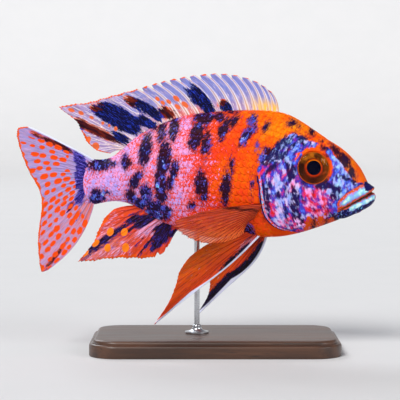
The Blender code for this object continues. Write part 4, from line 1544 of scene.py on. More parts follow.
@dataclass(frozen=True)
class ClearFinish:
    """Clear wet cornea."""

    name: str = "clear_cornea"

    def build(self) -> Material:
        """Glass with faint unevenness in its roughness.

        Returns:
            The material.
        """
        face = Surface(self.name)
        rough = face.cloud(4.0, 2.0).step(0.4, 0.9) * 0.03
        return face.finish(Roughness=rough, Transmission_Weight=1.0, IOR=1.1, Metallic=0.0,
                           Base_Color=(255, 255, 255))


@dataclass(frozen=True)
class WoodFinish:
    """Dark satin walnut with long grain along X."""

    name: str = "satin_walnut"

    def build(self) -> Material:
        """Grain is noise stretched along X, bent by a broad noise, with fine pores.

        Returns:
            The material.
        """
        face = Surface(self.name)
        broad, grain = face.cloud(26.0, 3.0, (0.35, 1, 1)), face.cloud(3.2, 5.0, (0.08, 1, 1))
        pore = face.cloud(0.55, 2.0, (0.05, 1, 1)).step(0.60, 0.70)
        colour = (grain * 0.6 + broad * 0.4).ramp(
            (0.28, 38, 22, 14), (0.45, 62, 37, 23), (0.58, 84, 52, 33), (0.75, 56, 33, 21),
        )
        return face.finish(grain - pore * 0.5, 0.05, Base_Color=face.mix(pore * 0.6, colour, (24, 14, 9)),
                           Roughness=grain * 0.2 + 0.34, Coat_Weight=0.25, Coat_Roughness=0.25)


@dataclass(frozen=True)
class SteelFinish:
    """Fine turned steel, with rings left by the lathe."""

    name: str = "turned_steel"

    def build(self) -> Material:
        """Rings are noise squeezed along Z.

        Returns:
            The material.
        """
        face = Surface(self.name)
        rings = face.cloud(0.35, 2.0, (0.02, 0.02, 1))
        colour = face.mix(face.cloud(5.0, 3.0), (176, 178, 182), (206, 208, 212))
        return face.finish(rings, 0.01, Base_Color=colour, Roughness=rings * 0.16 + 0.2, Metallic=1.0)


@dataclass(frozen=True)
class PaperFinish:
    """Pale matt paper of the floor."""

    name: str = "studio_floor"

    def build(self) -> Material:
        """Two near greys, mixed by a broad noise.

        Returns:
            The material.
        """
        face = Surface(self.name)
        colour = face.mix(face.cloud(40.0, 4.0), (207, 208, 210), (212, 212, 214))
        return face.finish(Base_Color=colour, Roughness=0.9, Specular_IOR_Level=0.1)


@dataclass
class ScaleCoat:
    """Overlapping scales of one side, each a thin domed plate laid on the body."""

    lay: BodyLay
    markings: Markings
    side: Side
    stations: tuple[float, ...] = (0.0, 0.42, 0.68, 0.86, 1.0)
    width_cells: int = 6
    thick: float = 0.08
    overlap: float = 1.9
    lift: float = 0.30
    seed: int = 21
    ends: tuple[float, float] = (46.0, -51.0)
    half_rows: int = 22
    pitch: Knots = ((-56, 1.5), (-42, 1.75), (-20, 2.05), (5, 2.3), (24, 2.3), (34, 1.9), (46, 1.6))
    row: Knots = ((-56, 1.7), (-42, 2.0), (-20, 2.5), (5, 2.9), (24, 2.8), (34, 2.3), (46, 1.8))
    patch_size: float = 0.003
    map_start: tuple[float, float] = (-58.0, -48.0)
    map_size: tuple[float, float] = (126.0, 98.0)

    def roots(self) -> tuple[Array, Array]:
        """Places (x, arc) of the scales' centres: rows along the body, every other one half a step on.

        Returns:
            The places and the arcs.
        """
        columns = [self.ends[0]]
        while columns[-1] > self.ends[1]:
            columns.append(columns[-1] - float(spline(self.pitch, columns[-1])))
        rows = np.arange(-self.half_rows, self.half_rows + 1)
        x = np.repeat(np.array(columns)[None, :], len(rows), 0)
        x = x - 0.5 * spline(self.pitch, x) * (rows[:, None] % 2)
        return x.ravel(), (rows[:, None] * spline(self.row, x)).ravel()

    def allowed(self, x: Array, arc: Array) -> Array:
        """True where the body has scales: behind the gill opening, and over the nape above it.

        Args:
            x: Places along the body.
            arc: Arcs from the widest line.

        Returns:
            True or false for each place.
        """
        low, high = self.lay.reach(x)
        z = self.lay.read(self.lay.place, x, arc)[..., 2]
        behind, _ = line_distance(x, z, along(GILL_COVER_REAR, 15))
        nape = (z > 84.5 + 0.10 * np.abs(x - 30)) & (x >= 17)
        trunk = np.where(z > 80.6, x < 60, behind < -0.2) & (x < 22 + 60 * (z > 80.6))
        return (arc > low - 0.8) & (arc < high + 0.6) & (nape | (trunk & ((x < 20) | ((z < 52) & (x < 30)))))

    def build(self, material: Material) -> None:
        """Builds all scales as closed plates in one mesh.

        A scale's own coordinates run from its root (u = 0) to its rear edge (u = 1), and across it
        (v from -1 to 1). Its length falls with v squared, which rounds the rear edge. It rises from
        below the skin at its root, so that it lies over the scales behind.

        Args:
            material: Finish of the piece.
        """
        draw = np.random.default_rng(self.seed + self.side.value)
        x, arc = self.roots()
        keep = self.allowed(x, arc)
        x, arc = x[keep][:, None, None], arc[keep][:, None, None]
        count, cells = len(x), len(self.stations) * (self.width_cells + 1)
        u = np.array(self.stations)[None, :, None]
        v = np.linspace(-1, 1, self.width_cells + 1)[None, None, :]
        size = 1 + 0.05 * draw.standard_normal((count, 1, 1))
        length = self.overlap * spline(self.pitch, x) * size
        place_x = x + 0.55 * length - u * length * (1 - 0.42 * v**2)
        place_arc = arc + v * 0.60 * spline(self.row, x) * size * (0.92 + 0.08 * np.sin(u * math.pi))
        place_arc = np.clip(place_arc, *self.lay.reach(place_x))
        grow = 1 + 0.08 * draw.standard_normal((count, 1, 1))
        rise = -0.16 + self.lift * u * grow - 0.07 * v**2 - 0.05 * u**6 - 0.10
        under = rise - self.thick * (1 - 0.6 * u)
        both = [self.lay.surface(place_x, place_arc, height) for height in (rise, under)]
        points = np.concatenate([face.reshape(count, cells, 3) for face in both], axis=1)
        points[..., 1] = np.maximum(points[..., 1], 0.0) * self.side.value
        points = points.reshape(-1, 3)
        faces = (self.plate_faces() + (np.arange(count) * 2 * cells)[:, None, None]).reshape(-1, 4)
        faces = faces[:, ::self.side.value]
        coat = Coat.of(self.markings, points)
        ahead, aside = (part.ravel() for part in np.broadcast_arrays(u, v))
        shade = 1 - 0.10 * ease(0.90, 1.0, ahead) - 0.06 * ease(0.8, 1.0, np.abs(aside))
        parts = (ahead, aside * 0.5 + 0.5, shade)
        coat.along, coat.across, coat.shade = (np.tile(part, 2 * count) for part in parts)
        each = np.repeat(draw.uniform(-1, 1, (count, 3)), 2 * cells, axis=0)
        coat.spark = np.clip(coat.spark * (1 + 0.4 * each[:, 0]), 0, 1)
        coat.frost = np.clip(coat.frost + 0.12 * each[:, 1] * ease(0.1, 0.4, coat.frost), 0, 1)
        coat.blush = np.clip(coat.blush + 0.05 * each[:, 2], 0, 1)
        name = f"scales_{self.side.label}"
        mesh = build_mesh(name, points, faces, coat.attributes(), weld=False, turn=False)
        self.lay_map(mesh, x[:, :, 0], arc[:, :, 0], stack(u - 0.5, v / 2).reshape(1, cells, 2))
        add_piece(mesh, material, Slot.SKIN)

    def plate_faces(self) -> Array:
        """Quads of one closed plate: top, underside and rim.

        Returns:
            Four point numbers a row.
        """
        rows, columns = len(self.stations), self.width_cells + 1
        number, under = np.arange(rows * columns).reshape(rows, columns), rows * columns
        ring = np.concatenate([number[0, :-1], number[:-1, -1], number[-1, :0:-1], number[:0:-1, 0]])
        after = np.roll(ring, -1)
        return np.concatenate([
            doubled(grid_faces(rows, columns), under), stack(ring, after, after + under, ring + under),
        ])

    def lay_map(self, mesh: Mesh, x: Array, arc: Array, own: Array) -> None:
        """UV map in which each scale is a small patch at its root on the laid-out skin.

        Args:
            mesh: Mesh of the scales.
            x: Scales' places along the body.
            arc: Scales' arcs.
            own: Coordinates inside a scale.
        """
        half = 0.0 if self.side is Side.RIGHT else 0.5
        (left, low), (wide, tall) = self.map_start, self.map_size
        root = stack((x - left) / wide * 0.46 + half + 0.02, (arc - low) / tall)
        place = np.concatenate([root + own * self.patch_size] * 2, axis=1).reshape(-1, 2)
        corner = np.empty(len(mesh.loops), np.int32)
        mesh.loops.foreach_get("vertex_index", corner)
        layer = mesh.uv_layers.new(name="OFBake")
        layer.uv.foreach_set("vector", place[corner].astype(np.float32).ravel())


@dataclass
class GillCover:
    """Thin plate over the cheek's rear: its front edge is sunk in the head and its rear edge stands free."""

    form: BodyForm
    markings: Markings
    side: Side
    across_cells: int = 56
    down_cells: int = 96
    sunk: float = 0.30
    rise: float = 0.95
    half_thick: float = 0.24
    groove_place: float = 1.5
    groove_depth: float = 0.16

    def build(self, material: Material) -> None:
        """Builds the plate from a middle surface and a half thickness that falls to 0 at its edges.

        The middle surface blends from the front line to the rear line, and its lift over the flank
        rises in a smooth step from below the skin.

        Args:
            material: Finish of the piece.
        """
        down = np.linspace(0, 1, self.down_cells + 1)[:, None]
        across = (1 - np.cos(np.linspace(0, math.pi, self.across_cells + 1)[None, :])) / 2
        front, rear = (along(line, self.down_cells + 1) for line in (GILL_COVER_FRONT, GILL_COVER_REAR))
        plan = front[:, None] + (rear - front)[:, None] * across[..., None]
        x, z = plan[..., 0], plan[..., 1]
        edge = size_of(rear - front) * (1 - across)
        stand = ease(0, 0.30, across) * ease(0.0, 0.10, down) * ease(1.0, 0.90, down)
        lift = -self.sunk + self.rise * stand - 0.16 * ease(0.6, 1.0, across)
        lift -= self.groove_depth * bell(self.groove_place, 0.35, edge) * stand
        lift += 0.08 * swell(stack(x, 0, z), 3.5, 31) * stand
        half = self.half_thick * np.clip(1 - across**10, 0, 1) ** 0.5 * np.clip(across * 12, 0, 1)
        half = half * np.minimum(1, np.minimum(down, 1 - down) * 14)
        normal = self.form.flank_normal(x, z)
        middle = stack(x, self.form.flank(x, z), z) + normal * lift[..., None]
        points, faces = closed_sheet(middle, normal, half)
        points = points * (1, self.side.value, 1)
        lower = ease(0.14, 0.3, down)
        wavy = edge + 0.12 * swell(middle, 1.6, 33)
        # Navy along the lower free edge: partly the cover's dark margin, partly a painted shadow of the edge.
        navy = lower * ease(0.62, 0.45, wavy)
        rim = lower * ease(1.50, 1.30, wavy) * (1 - navy)
        line = lower * bell(1.85, 0.35, wavy)
        navy, rim, line = (np.tile(part.ravel(), 2) for part in (navy, rim, line))
        coat = Coat.of(self.markings, points)
        coat.ink = np.clip(coat.ink + 0.3 * line + 0.8 * navy - 1.2 * rim, 0, 1)
        coat.frost = np.maximum(coat.frost * (1 - navy), 0.62 * rim)
        coat.spark = coat.spark * (1 - navy)
        coat.azure = coat.azure * (1 - rim - navy) + 0.64 * rim + 0.9 * navy
        coat.mosaic = coat.mosaic * (1 - rim - navy)
        name = f"gill_cover_{self.side.label}"
        add_piece(build_mesh(f"{name}_plate", points, faces, coat.attributes()), material, Slot.COVER, [name])


@dataclass(frozen=True)
class FinPattern:
    """Markings of a fin: patches in side view, and values that change by ray and from root to tip."""

    warm: Callable[[Array, Array], Array]
    lace: Callable[[Array, Array], Array]
    ink: tuple[Patch, ...] = ()
    rust: tuple[Patch, ...] = ()
    spots: tuple[Patch, ...] = ()
    blue: tuple[Patch, ...] = ()
    white: float = 0.0
    white_end: float = 0.0
    band: float = 0.0
    gold: float = 0.0
    rim: float = 0.0
    rows_of_spots: bool = False


@dataclass
class Fin:
    """Fin as one closed sheet, with rays as ridges on both faces that taper and fork."""

    name: str
    roots: Array
    tips: Array
    bow: Array
    pattern: FinPattern
    spines: int = 0
    wave: float = 0.0
    rows: int = 52
    notch: float = 0.02
    lappet: float = 0.15
    web: float = 0.11
    ray: tuple[float, float] = (0.42, 0.22)
    sheath: float = 0.55
    bury: float = 1.3
    forks: tuple[float, float] = (0.34, 0.62)
    ripple: float = 0.0
    seed: int = 5
    spot_step: float = 3.9
    spot_count: int = 40
    columns: tuple[float, ...] = (
        0.0, 0.05, 0.1, 0.16, 0.23, 0.3, 0.37, 0.44, 0.51, 0.58, 0.65, 0.72, 0.78, 0.83, 0.87, 0.91, 0.95,
    )

    def sheet(self) -> tuple[Array, ...]:
        """Middle surface of the fin.

        A point is its ray's root plus a share of the run to the tip, plus a bow across the run that is
        a parabola of the share. The edge falls back between rays: behind a spine in a late narrow
        notch, and elsewhere in small waves.

        Returns:
            Ray number, share of the length, points, and the distance between rays at each point.
        """
        rays = len(self.roots)
        at = np.append((np.arange(rays - 1)[:, None] + np.array(self.columns)).ravel(), rays - 1.0)
        whole = np.minimum(at.astype(int), rays - 2)
        part = at - whole
        late = (0.3 * part + 0.7 * ease(0.5, 0.9, part)) * ease(1.0, 0.94, part)
        waves = self.notch * (0.5 - 0.5 * np.cos(8 * math.pi * part)) + self.notch * np.sin(math.pi * part)
        reach = 1 - np.where(whole < self.spines - 1, self.lappet * late, waves)
        share = np.linspace(0, 1, self.rows)[:, None] ** 0.92 * reach[None, :]
        start, end = (
            stack(*(spline(list(enumerate(axis)), at) for axis in line.T)) for line in (self.roots, self.tips)
        )
        bent = np.interp(at, np.arange(rays), self.bow)
        run = end - start
        across = unit(run[:, ::-1] * (1, 0, -1))
        start = start - unit(run) * self.bury
        aside = (4 * share * (1 - share) * bent)[..., None]
        points = start + (end - start) * share[..., None] + across * aside
        points[..., 1] += np.sin(at / (rays - 1) * 2 * math.pi) * self.wave * share**1.5
        points[..., 1] += self.ripple * np.sin(2 * math.pi * (at - 0.5)) * share**2
        gap = size_of(np.gradient(points, axis=1))[..., 0] / np.gradient(at)[None, :]
        return at, share, points, gap

    def ridges(self, at: Array, share: Array, gap: Array) -> tuple[Array, Array]:
        """Height of the rays over the membrane in millimetres, and how much of each point is ray.

        Each branch is a half ellipse about its own line. A soft ray forks twice, so that its four
        branches end a quarter of the gap apart.

        Args:
            at: Ray numbers, one a column.
            share: Shares of the length.
            gap: Distances between rays.

        Returns:
            The heights, and the shares of ray.
        """
        last = len(self.roots) - 1
        radius = self.ray[0] + (self.ray[1] - self.ray[0]) * share
        height, cover = np.zeros_like(gap), np.zeros_like(gap)
        first = ease(self.forks[0], self.forks[0] + 0.2, share) * 0.25
        second = ease(self.forks[1], self.forks[1] + 0.2, share) * 0.125
        for ray in (np.floor(at), np.floor(at) + 1, np.round(at)):
            ray = np.clip(ray, 0, last)
            centre = np.clip(ray, 0.10, last - 0.10)
            soft = (ray >= self.spines).astype(float)
            thin = 1 - soft * (0.25 * (first > 0) + 0.2 * (second > 0))
            for fork in (-first - second, -first + second, first - second, first + second):
                side = np.abs((at - centre)[None, :] - soft * fork) * gap / (radius * thin)
                height = np.maximum(height, np.sqrt(np.clip(1 - side**2, 0, 1)) * radius * thin)
                cover = np.maximum(cover, bell(0, 2.4 - 1.35 * soft, side))
        return height, cover

    def rows_of_spots(self, at: Array, share: Array, length: Array, gap: Array) -> Array:
        """Spots in the webs: one in each cell of a lattice along the rays, moved and resized at random.

        Every other web is half a step on.

        Args:
            at: Ray numbers, one a column.
            share: Shares of the length.
            length: Distances from the root.
            gap: Distances between rays.

        Returns:
            1 at the middle of a spot, 0 at its edge.
        """
        draw = np.random.default_rng(self.seed)
        rays, count = len(self.roots), self.spot_count
        moved = draw.normal(0, 0.10, (2, rays, count))
        size = draw.uniform(0.72, 1.15, (rays, count)) * (draw.random((rays, count)) < 0.90)
        web = np.clip(np.floor(at), 0, rays - 2).astype(int)[None, :] + 0 * length.astype(int)
        phase = 0.5 * (web % 2)
        cell = np.clip(np.floor(length / self.spot_step - phase), 0, count - 1).astype(int)
        aside = (at[None, :] - web - 0.5 + moved[0][web, cell]) * gap
        ahead = length - (cell + 0.5 + phase + moved[1][web, cell]) * self.spot_step
        wide = np.clip(0.50 * gap, 0.5, 1.25) * (1 - 0.4 * ease(6, 2, at) * ease(0.7, 0.9, share))
        grow = np.maximum(size[web, cell], 0.01)
        return 1 - np.hypot(aside / (wide * grow), ahead / (1.65 * grow))

    def fields(self, at: Array, share: Array, points: Array, gap: Array, cover: Array) -> dict[str, Array]:
        """Markings at each point of the sheet: web (warm, ink, spot), ray (ray, rim, lace) and flow.

        Args:
            at: Ray numbers, one a column.
            share: Shares of the length.
            points: Points, with three numbers in the last axis.
            gap: Distances between rays.
            cover: Shares of ray.

        Returns:
            Three numbers a point for each attribute.
        """
        pattern = self.pattern
        x, z = points[..., 0], points[..., 2]
        ink, rust, spot, blue = (
            Markings.most(group, x, z) for group in (pattern.ink, pattern.rust, pattern.spots, pattern.blue)
        )
        row = np.broadcast_to(at[None, :], share.shape)
        length = size_of(points - points[:1])[..., 0]
        ragged = swell(stack(row * 2.4, 0, share * 2.5), 1.0, 41)
        rusty = ease(-0.5, 0.0, rust) * ease(-0.4, 0.4, rust - ink + 0.8 * ragged)
        warm = blend(pattern.warm(row, share), 0.95, rusty)
        lace = np.maximum(pattern.lace(row, share), ease(-1.0, 1.0, blue))
        ink = np.maximum(ink, rust) + 0.8 * ragged
        white = -pattern.gold * ease(0.6, 0.1, share) * ease(7, 2, row)
        if pattern.white:
            edge = np.concatenate([points[::4, 0], points[-1, at <= pattern.white_end][::3]])[:, [0, 2]]
            away = line_distance(x, z, edge)[0]
            away = np.maximum(away * np.sign(np.median(away)), 0)
            wide = pattern.white * (1 + pattern.white_end * (0.40 - 0.15 * ease(0.1, 0.5, row)))
            white = ease(1.15, 0.75, away / wide + 0.15 * ragged)
            band = np.minimum(away, (pattern.band - away) * ease(0.02, 0.2, share) + 0.5 * ragged)
            ink = np.maximum(ink, band) if pattern.band else ink
        if pattern.rows_of_spots:
            keep = (share > 0.20 + 0.10 * ease(9, 5, row)) & (row > 0.9 + 0.7 * ease(0.4, 0.9, share))
            spot = np.maximum(spot, np.where(keep, self.rows_of_spots(at, share, length, gap), -1.0))
        rim = 0 * x
        if pattern.rim:
            rim = ease(pattern.rim, 0.35 * pattern.rim, length[-1:] - length + 0.5 * pattern.rim * ragged)
        part = row - np.floor(row)
        beside = rim * np.maximum(ease(0.5, 0.3, part), ease(0.9, 0.95, part))
        rim = np.where(row < self.spines - 1, beside, rim)
        depth, dot = np.clip(0.5 + ink / INK_RANGE, 0, 1), np.clip(0.5 + 0.5 * spot, 0, 1)
        fields = {
            "web": stack(warm, depth, dot),
            "ray": stack(cover, rim, lace),
            "flow": stack(row, length * 0.1, white),
        }
        return {key: np.tile(value.reshape(-1, 3), (2, 1)) for key, value in fields.items()}

    def build(self, material: Material, node: str) -> None:
        """Builds both faces and welds them along the edge, where the sheet has no thickness.

        Args:
            material: Finish of the piece.
            node: Name of the CAD node that the fin stands for.
        """
        at, share, points, gap = self.sheet()
        height, cover = self.ridges(at, share, gap)
        half = self.web + np.maximum(height - 0.05, 0)
        half += self.sheath * bell(0, 1, share * 9.0)
        half *= np.clip((share[-1:] - share) * 60 + 0.25, 0, 1)
        half[[0, -1]] = 0
        half[:, [0, -1]] = 0
        normal = unit(np.cross(np.gradient(points, axis=0), np.gradient(points, axis=1)))
        sheet, faces = closed_sheet(points, normal, half)
        mesh = build_mesh(self.name, sheet, faces, self.fields(at, share, points, gap, cover))
        add_piece(mesh, material, Slot.FIN, [node])


def tips_of(knots: Knots, rays: int, height: float | Array = 0.0) -> Array:
    """Tip of every ray, read from a smooth line through (ray, x, z) knots, at a distance height along Y."""
    x, z = (spline([(knot[0], knot[axis]) for knot in knots], np.arange(rays)) for axis in (1, 2))
    return stack(x, height, z)


@dataclass
class FinSet:
    """The seven fins, each rooted on the body's own outline."""

    form: BodyForm
    gap: float = 0.3
    dorsal_rays: int = 26
    dorsal_spines: int = 15
    dorsal_roots: Knots = (
        (0, 26.2), (2, 21.6), (5, 13.1), (8, 2.8), (11, -8.0), (13, -15.8), (14, -19.4), (16, -27.0),
        (18, -33.2), (21, -37.6), (25, -40.3),
    )
    dorsal_tips: Knots = (
        (0, 23.4, 108.4), (2, 17.4, 112.6), (5, 4.4, 116.0), (8, -8.7, 115.4), (11, -21.3, 113.0),
        (14, -33.1, 109.7), (17, -48.3, 105.6), (19, -58.5, 103.6), (20, -65.4, 102.2), (21, -60.4, 98.0),
        (22, -56.8, 93.2), (23, -54.2, 88.0), (24, -49.8, 84.0), (25, -44.0, 82.6),
    )
    tail_rays: int = 18
    tail_tips: Knots = (
        (0, -77.5, 94.0), (1, -82.3, 93.4), (2, -83.0, 90.0), (4, -80.7, 81.6), (6, -77.3, 73.8),
        (8, -73.3, 66.0), (9, -72.7, 61.8), (11, -73.6, 53.4), (13, -74.4, 45.0), (15, -73.8, 36.4),
        (16, -73.0, 33.0), (17, -70.6, 33.6),
    )
    tail_bow: tuple[float, float, float] = (0.4, 1.4, -3.6)
    anal_rays: int = 12
    anal_root: tuple[float, float] = (-14.8, -34.7)
    anal_tips: Knots = (
        (0, -19.2, 45.0), (1, -21.4, 41.2), (2, -25.4, 38.8), (4, -37.2, 38.2), (6, -51.0, 37.2),
        (7, -57.7, 37.0), (8, -53.4, 42.4), (9, -49.8, 49.2), (10, -46.8, 55.2), (11, -42.6, 59.2),
    )
    pelvic_rays: int = 7
    pelvic_root_right: Knots = ((17.8, 2.2), (12.0, 3.6))
    pelvic_root_left: Knots = ((21.4, 2.2), (15.0, 3.6))
    pelvic_tips_right: Knots = (
        (0, -10.0, 24.6), (1, -25.0, 12.0), (2, -22.4, 16.4), (3, -17.2, 26.4), (4, -15.2, 33.4),
        (5, -10.6, 40.2), (6, -3.4, 45.4),
    )
    pelvic_tips_left: Knots = (
        (0, 7.4, 28.6), (1, -7.3, 13.1), (2, -5.2, 17.4), (3, -2.4, 24.0), (4, -2.6, 29.6),
        (5, -3.0, 36.0), (6, -0.6, 43.6),
    )
    pelvic_spread: tuple[float, float] = (11.0, 13.0)
    pelvic_bow_right: tuple[float, ...] = (-1.5, 0.9, 0.4)
    pelvic_bow_left: tuple[float, ...] = (-2.8, -0.4, 0.2)
    pectoral_rays: int = 15
    pectoral_root: Knots = ((17.6, 61.8), (13.4, 53.4))
    pectoral_tips: Knots = (
        (0, -6.0, 59.4), (1.1, -13.8, 57.0), (2.1, -17.4, 55.3), (3.2, -16.6, 53.0), (4.3, -15.2, 51.2),
        (6.4, -10.3, 48.0), (8.6, -4.2, 46.0), (10.8, 2.8, 46.0), (12.9, 9.2, 48.0), (14, 11.8, 49.6),
    )
    pectoral_slope: float = 0.42

    def dorsal(self) -> Fin:
        """Spines and soft rays along the back, lavender with dark blue blotches and an orange fringe.

        Returns:
            The fin.
        """
        number = np.arange(self.dorsal_rays)
        x = spline(self.dorsal_roots, number)
        pattern = FinPattern(
            warm=self.dorsal_warm,
            lace=lambda at, share: 0.25 + 0.35 * ease(11, 15, at) + 0.35 * ease(0.6, 0.1, share),
            ink=patches(
                (-6.0, 104.9, 8.8, 3.4, -45), (4.6, 101.6, 3.2, 2.8, -40), (-40.9, 97.2, 11.6, 4.7, -64),
                (-27.8, 100.9, 8.6, 2.6, -63), (-39.6, 89.2, 4.6, 2.2, -60), (-30.0, 96.0, 5.0, 2.4, -70),
            ),
            rust=patches(
                (-48.6, 91.6, 10.4, 1.7, -66), (-56.0, 95.2, 3.4, 1.9, -60), (-47.0, 100.9, 5.0, 2.5, -72),
                (-34.2, 104.0, 4.0, 1.7, -60), (-20.4, 99.4, 5.4, 2.6, -70), (4.0, 102.2, 3.2, 2.6, -40),
            ),
            spots=patches(
                (-53.3, 88.3, 1.7, 1.2, 30), (-50.0, 85.6, 1.7, 1.6), (-60.1, 100.8, 1.5, 0.9, -75),
                (-56.1, 99.6, 1.3, 0.9, -60), (-51.7, 97.7, 1.1, 0.7, -60), (-41.6, 93.0, 1.1, 0.8),
                (-16.2, 105.6, 1.7, 1.0, -50), (-15.7, 102.2, 1.5, 0.9, -50), (-12.6, 103.1, 1.8, 1.0, -50),
                (-19.4, 104.3, 1.3, 0.8, -50), (-24.1, 105.5, 1.2, 0.8, -50), (-21.9, 103.9, 1.2, 0.8, -50),
                (-47.0, 95.4, 0.9, 0.7), (-44.3, 94.3, 0.8, 0.6),
            ),
            rim=1.1,
            gold=0.9,
        )
        bow = np.interp(number, [0, 5, 14, 18, 25], [1.1, 1.9, 1.7, 0.8, 0.4])
        return Fin("back_fin", stack(x, 0, self.form.section(x)[0] + self.gap),
                   tips_of(self.dorsal_tips, self.dorsal_rays), bow, pattern,
                   spines=self.dorsal_spines, wave=0.8, ray=(0.46, 0.2), ripple=0.25)

    @staticmethod
    def dorsal_warm(at: Array, share: Array) -> Array:
        """Warmth of the back fin: pink at the front spines' feet, cool above, lavender at the rear.

        Args:
            at: Number of the ray.
            share: Share of the way from root to tip.

        Returns:
            The warmth, from 0 to 1.
        """
        foot = (0.16 + 0.30 * ease(6, 12, at)) * ease(0.50, 0.02, share) * ease(19, 12, at)
        rear = 0.14 * ease(11, 18, at) + 0.06 * ease(18.5, 20, at) * ease(0.9, 0.3, share)
        return 0.14 + foot + rear

    def tail(self) -> Fin:
        """Hollow-edged tail fin, lavender with orange spots between its rays.

        Returns:
            The fin.
        """
        end = self.form.stalk_half - 0.3
        z = np.linspace(self.form.stalk_middle + end, self.form.stalk_middle - end, self.tail_rays)
        share = np.linspace(-1, 1, self.tail_rays)
        top, middle, low = self.tail_bow
        pattern = FinPattern(
            warm=lambda at, share: (
                0.28 + 0.12 * ease(7, 13, at) + 0.14 * ease(12, 17, at) * ease(0.55, 0.2, share)
            ),
            lace=lambda at, share: 0.30 + 0.15 * ease(3, 0, at),
            white=0.7,
            ink=patches(
                (-56.0, 73.4, 10.2, 3.0, 2), (-56.6, 80.8, 4.0, 2.4, -30), (-56.4, 64.0, 4.4, 2.2, 18),
            ),
            rust=patches(
                (-74.4, 90.4, 2.6, 0.7, -63), (-69.3, 87.9, 2.9, 0.9, -60), (-63.6, 85.2, 4.6, 0.9, -58),
                (-67.2, 39.4, 6.2, 0.7, 38), (-60.6, 60.4, 2.6, 1.1, 30, 0.8),
                (-58.4, 56.4, 3.2, 0.9, 36, 0.8),
            ),
            blue=patches((-55.8, 74.0, 11.0, 3.2, 4), (-58.6, 82.6, 4.0, 2.4, -40)),
            rim=1.5,
            rows_of_spots=True,
        )
        return Fin("caudal_fin", stack(self.form.stalk_edge(z) - self.gap, 0, z),
                   tips_of(self.tail_tips, self.tail_rays, -2.2),
                   middle + (np.where(share < 0, top, low) - middle) * share**2, pattern,
                   rows=60, ray=(0.40, 0.2), notch=0.008, forks=(0.22, 0.5), ripple=0.12)

    def anal(self) -> Fin:
        """Fin behind the vent, red-orange with dark bars and egg-shaped orange spots.

        Returns:
            The fin.
        """
        x = np.linspace(*self.anal_root, self.anal_rays)
        pattern = FinPattern(
            warm=lambda at, share: (
                0.72 - 0.14 * ease(4.0, 6.5, at) * ease(9.5, 8, at) * ease(0.3, 0.6, share)
            ),
            lace=lambda at, share: (
                0.08 + 0.62 * ease(2.6, 5.0, at) * ease(11.5, 9.5, at) * ease(0.3, 0.75, share)
            ),
            ink=patches(
                (-45.4, 46.7, 15.2, 1.35, 53), (-22.8, 46.2, 6.4, 2.0, 47), (-30.0, 54.4, 2.6, 5.4, -32),
                (-22.0, 50.6, 2.8, 5.0, -20), (-34.0, 55.4, 4.6, 2.0, 60), (-17.0, 49.0, 2.0, 2.2),
                (-29.6, 48.6, 5.0, 0.6, 40), (-34.4, 51.4, 5.0, 0.6, 48), (-26.4, 47.0, 4.4, 0.5, 40),
            ),
            spots=patches(
                (-44.0, 49.7, 1.9, 1.45, 20), (-38.1, 49.6, 1.8, 1.4, 25), (-50.1, 44.9, 1.9, 1.15, 45),
                (-45.2, 43.0, 1.8, 1.35, 10), (-37.6, 43.0, 2.0, 1.5, 10), (-54.5, 40.6, 1.9, 0.9, 45),
            ),
            blue=patches((-25.4, 52.6, 3.6, 10.0, -30)),
            rim=2.2,
        )
        return Fin("anal_fin_sheet", stack(x, 0, self.form.section(x)[1] - self.gap),
                   tips_of(self.anal_tips, self.anal_rays), np.full(self.anal_rays, 0.5), pattern,
                   spines=3, wave=0.5, notch=0.026, lappet=0.14, ripple=0.2)

    def pelvic(self, side: Side) -> Fin:
        """Fin under the breast with a long trailing tip, orange with a white leading edge.

        On the right a short dark streak lies near the root, on the left a black band along the edge.

        Args:
            side: Side of the fish.

        Returns:
            The fin.
        """
        right, count = side is Side.RIGHT, self.pelvic_rays
        root, tips, bow = (
            (self.pelvic_root_right, self.pelvic_tips_right, self.pelvic_bow_right) if right
            else (self.pelvic_root_left, self.pelvic_tips_left, self.pelvic_bow_left)
        )
        x, y = np.linspace(*root, count).T
        reach = side.value * np.linspace(*self.pelvic_spread, count)
        reach[0] *= 0.66
        bow = np.interp(range(count), (0, 1, count - 1), bow)
        pattern = FinPattern(
            warm=lambda at, share: 0.76 + 0.20 * ease(1.5, 4.5, at) * ease(0.0, 0.5, share),
            lace=lambda at, share: 0.30 * ease(3.2, 1.0, at) * ease(0.5, 0.2, share) - 0.3,
            ink=patches((12.4, 43.6, 5.4, 1.3, 44), (6.6, 38.2, 5.0, 0.7, 43)) if right else (),
            blue=patches((13.0, 44.4, 5.4, 2.0, 44)) if right else (),
            white=0.62,
            white_end=1.0,
            band=0.0 if right else 3.4,
        )
        return Fin(f"belly_fin_{side.label}",
                   stack(x, side.value * y, self.form.underside(x, y - 0.55) - 1.2 * self.gap),
                   tips_of(tips, count, reach), bow, pattern,
                   rows=60, notch=0.008, ray=(0.45, 0.16), bury=1.6, ripple=0.15, seed=9)

    def pectoral(self, side: Side) -> Fin:
        """Thin fan behind the gill cover, held a little away from the flank.

        Args:
            side: Side of the fish.

        Returns:
            The fin.
        """
        x, z = np.linspace(*self.pectoral_root, self.pectoral_rays).T
        out = self.form.flank(x, z) + 1.3 * self.gap + 0.55
        tips = tips_of(self.pectoral_tips, self.pectoral_rays)
        reach = np.hypot(tips[:, 0] - x, tips[:, 2] - z)
        tips[:, 1] = side.value * (out + self.pectoral_slope * reach)
        pattern = FinPattern(
            warm=lambda at, share: 0.68 + 0.08 * ease(4, 11, at),
            lace=lambda at, share: 0.6 + 0.4 * ease(4, 8, at) * ease(0.35, 0.8, share),
            ink=patches((4.0, 61.0, 15.0, 0.4, -82)),
        )
        return Fin(f"breast_fin_{side.label}", stack(x, side.value * out, z), tips,
                   np.full(self.pectoral_rays, 0.4), pattern,
                   web=0.08, ray=(0.22, 0.34), sheath=0.7, bury=2.4, forks=(0.66, 2.0), ripple=0.08)


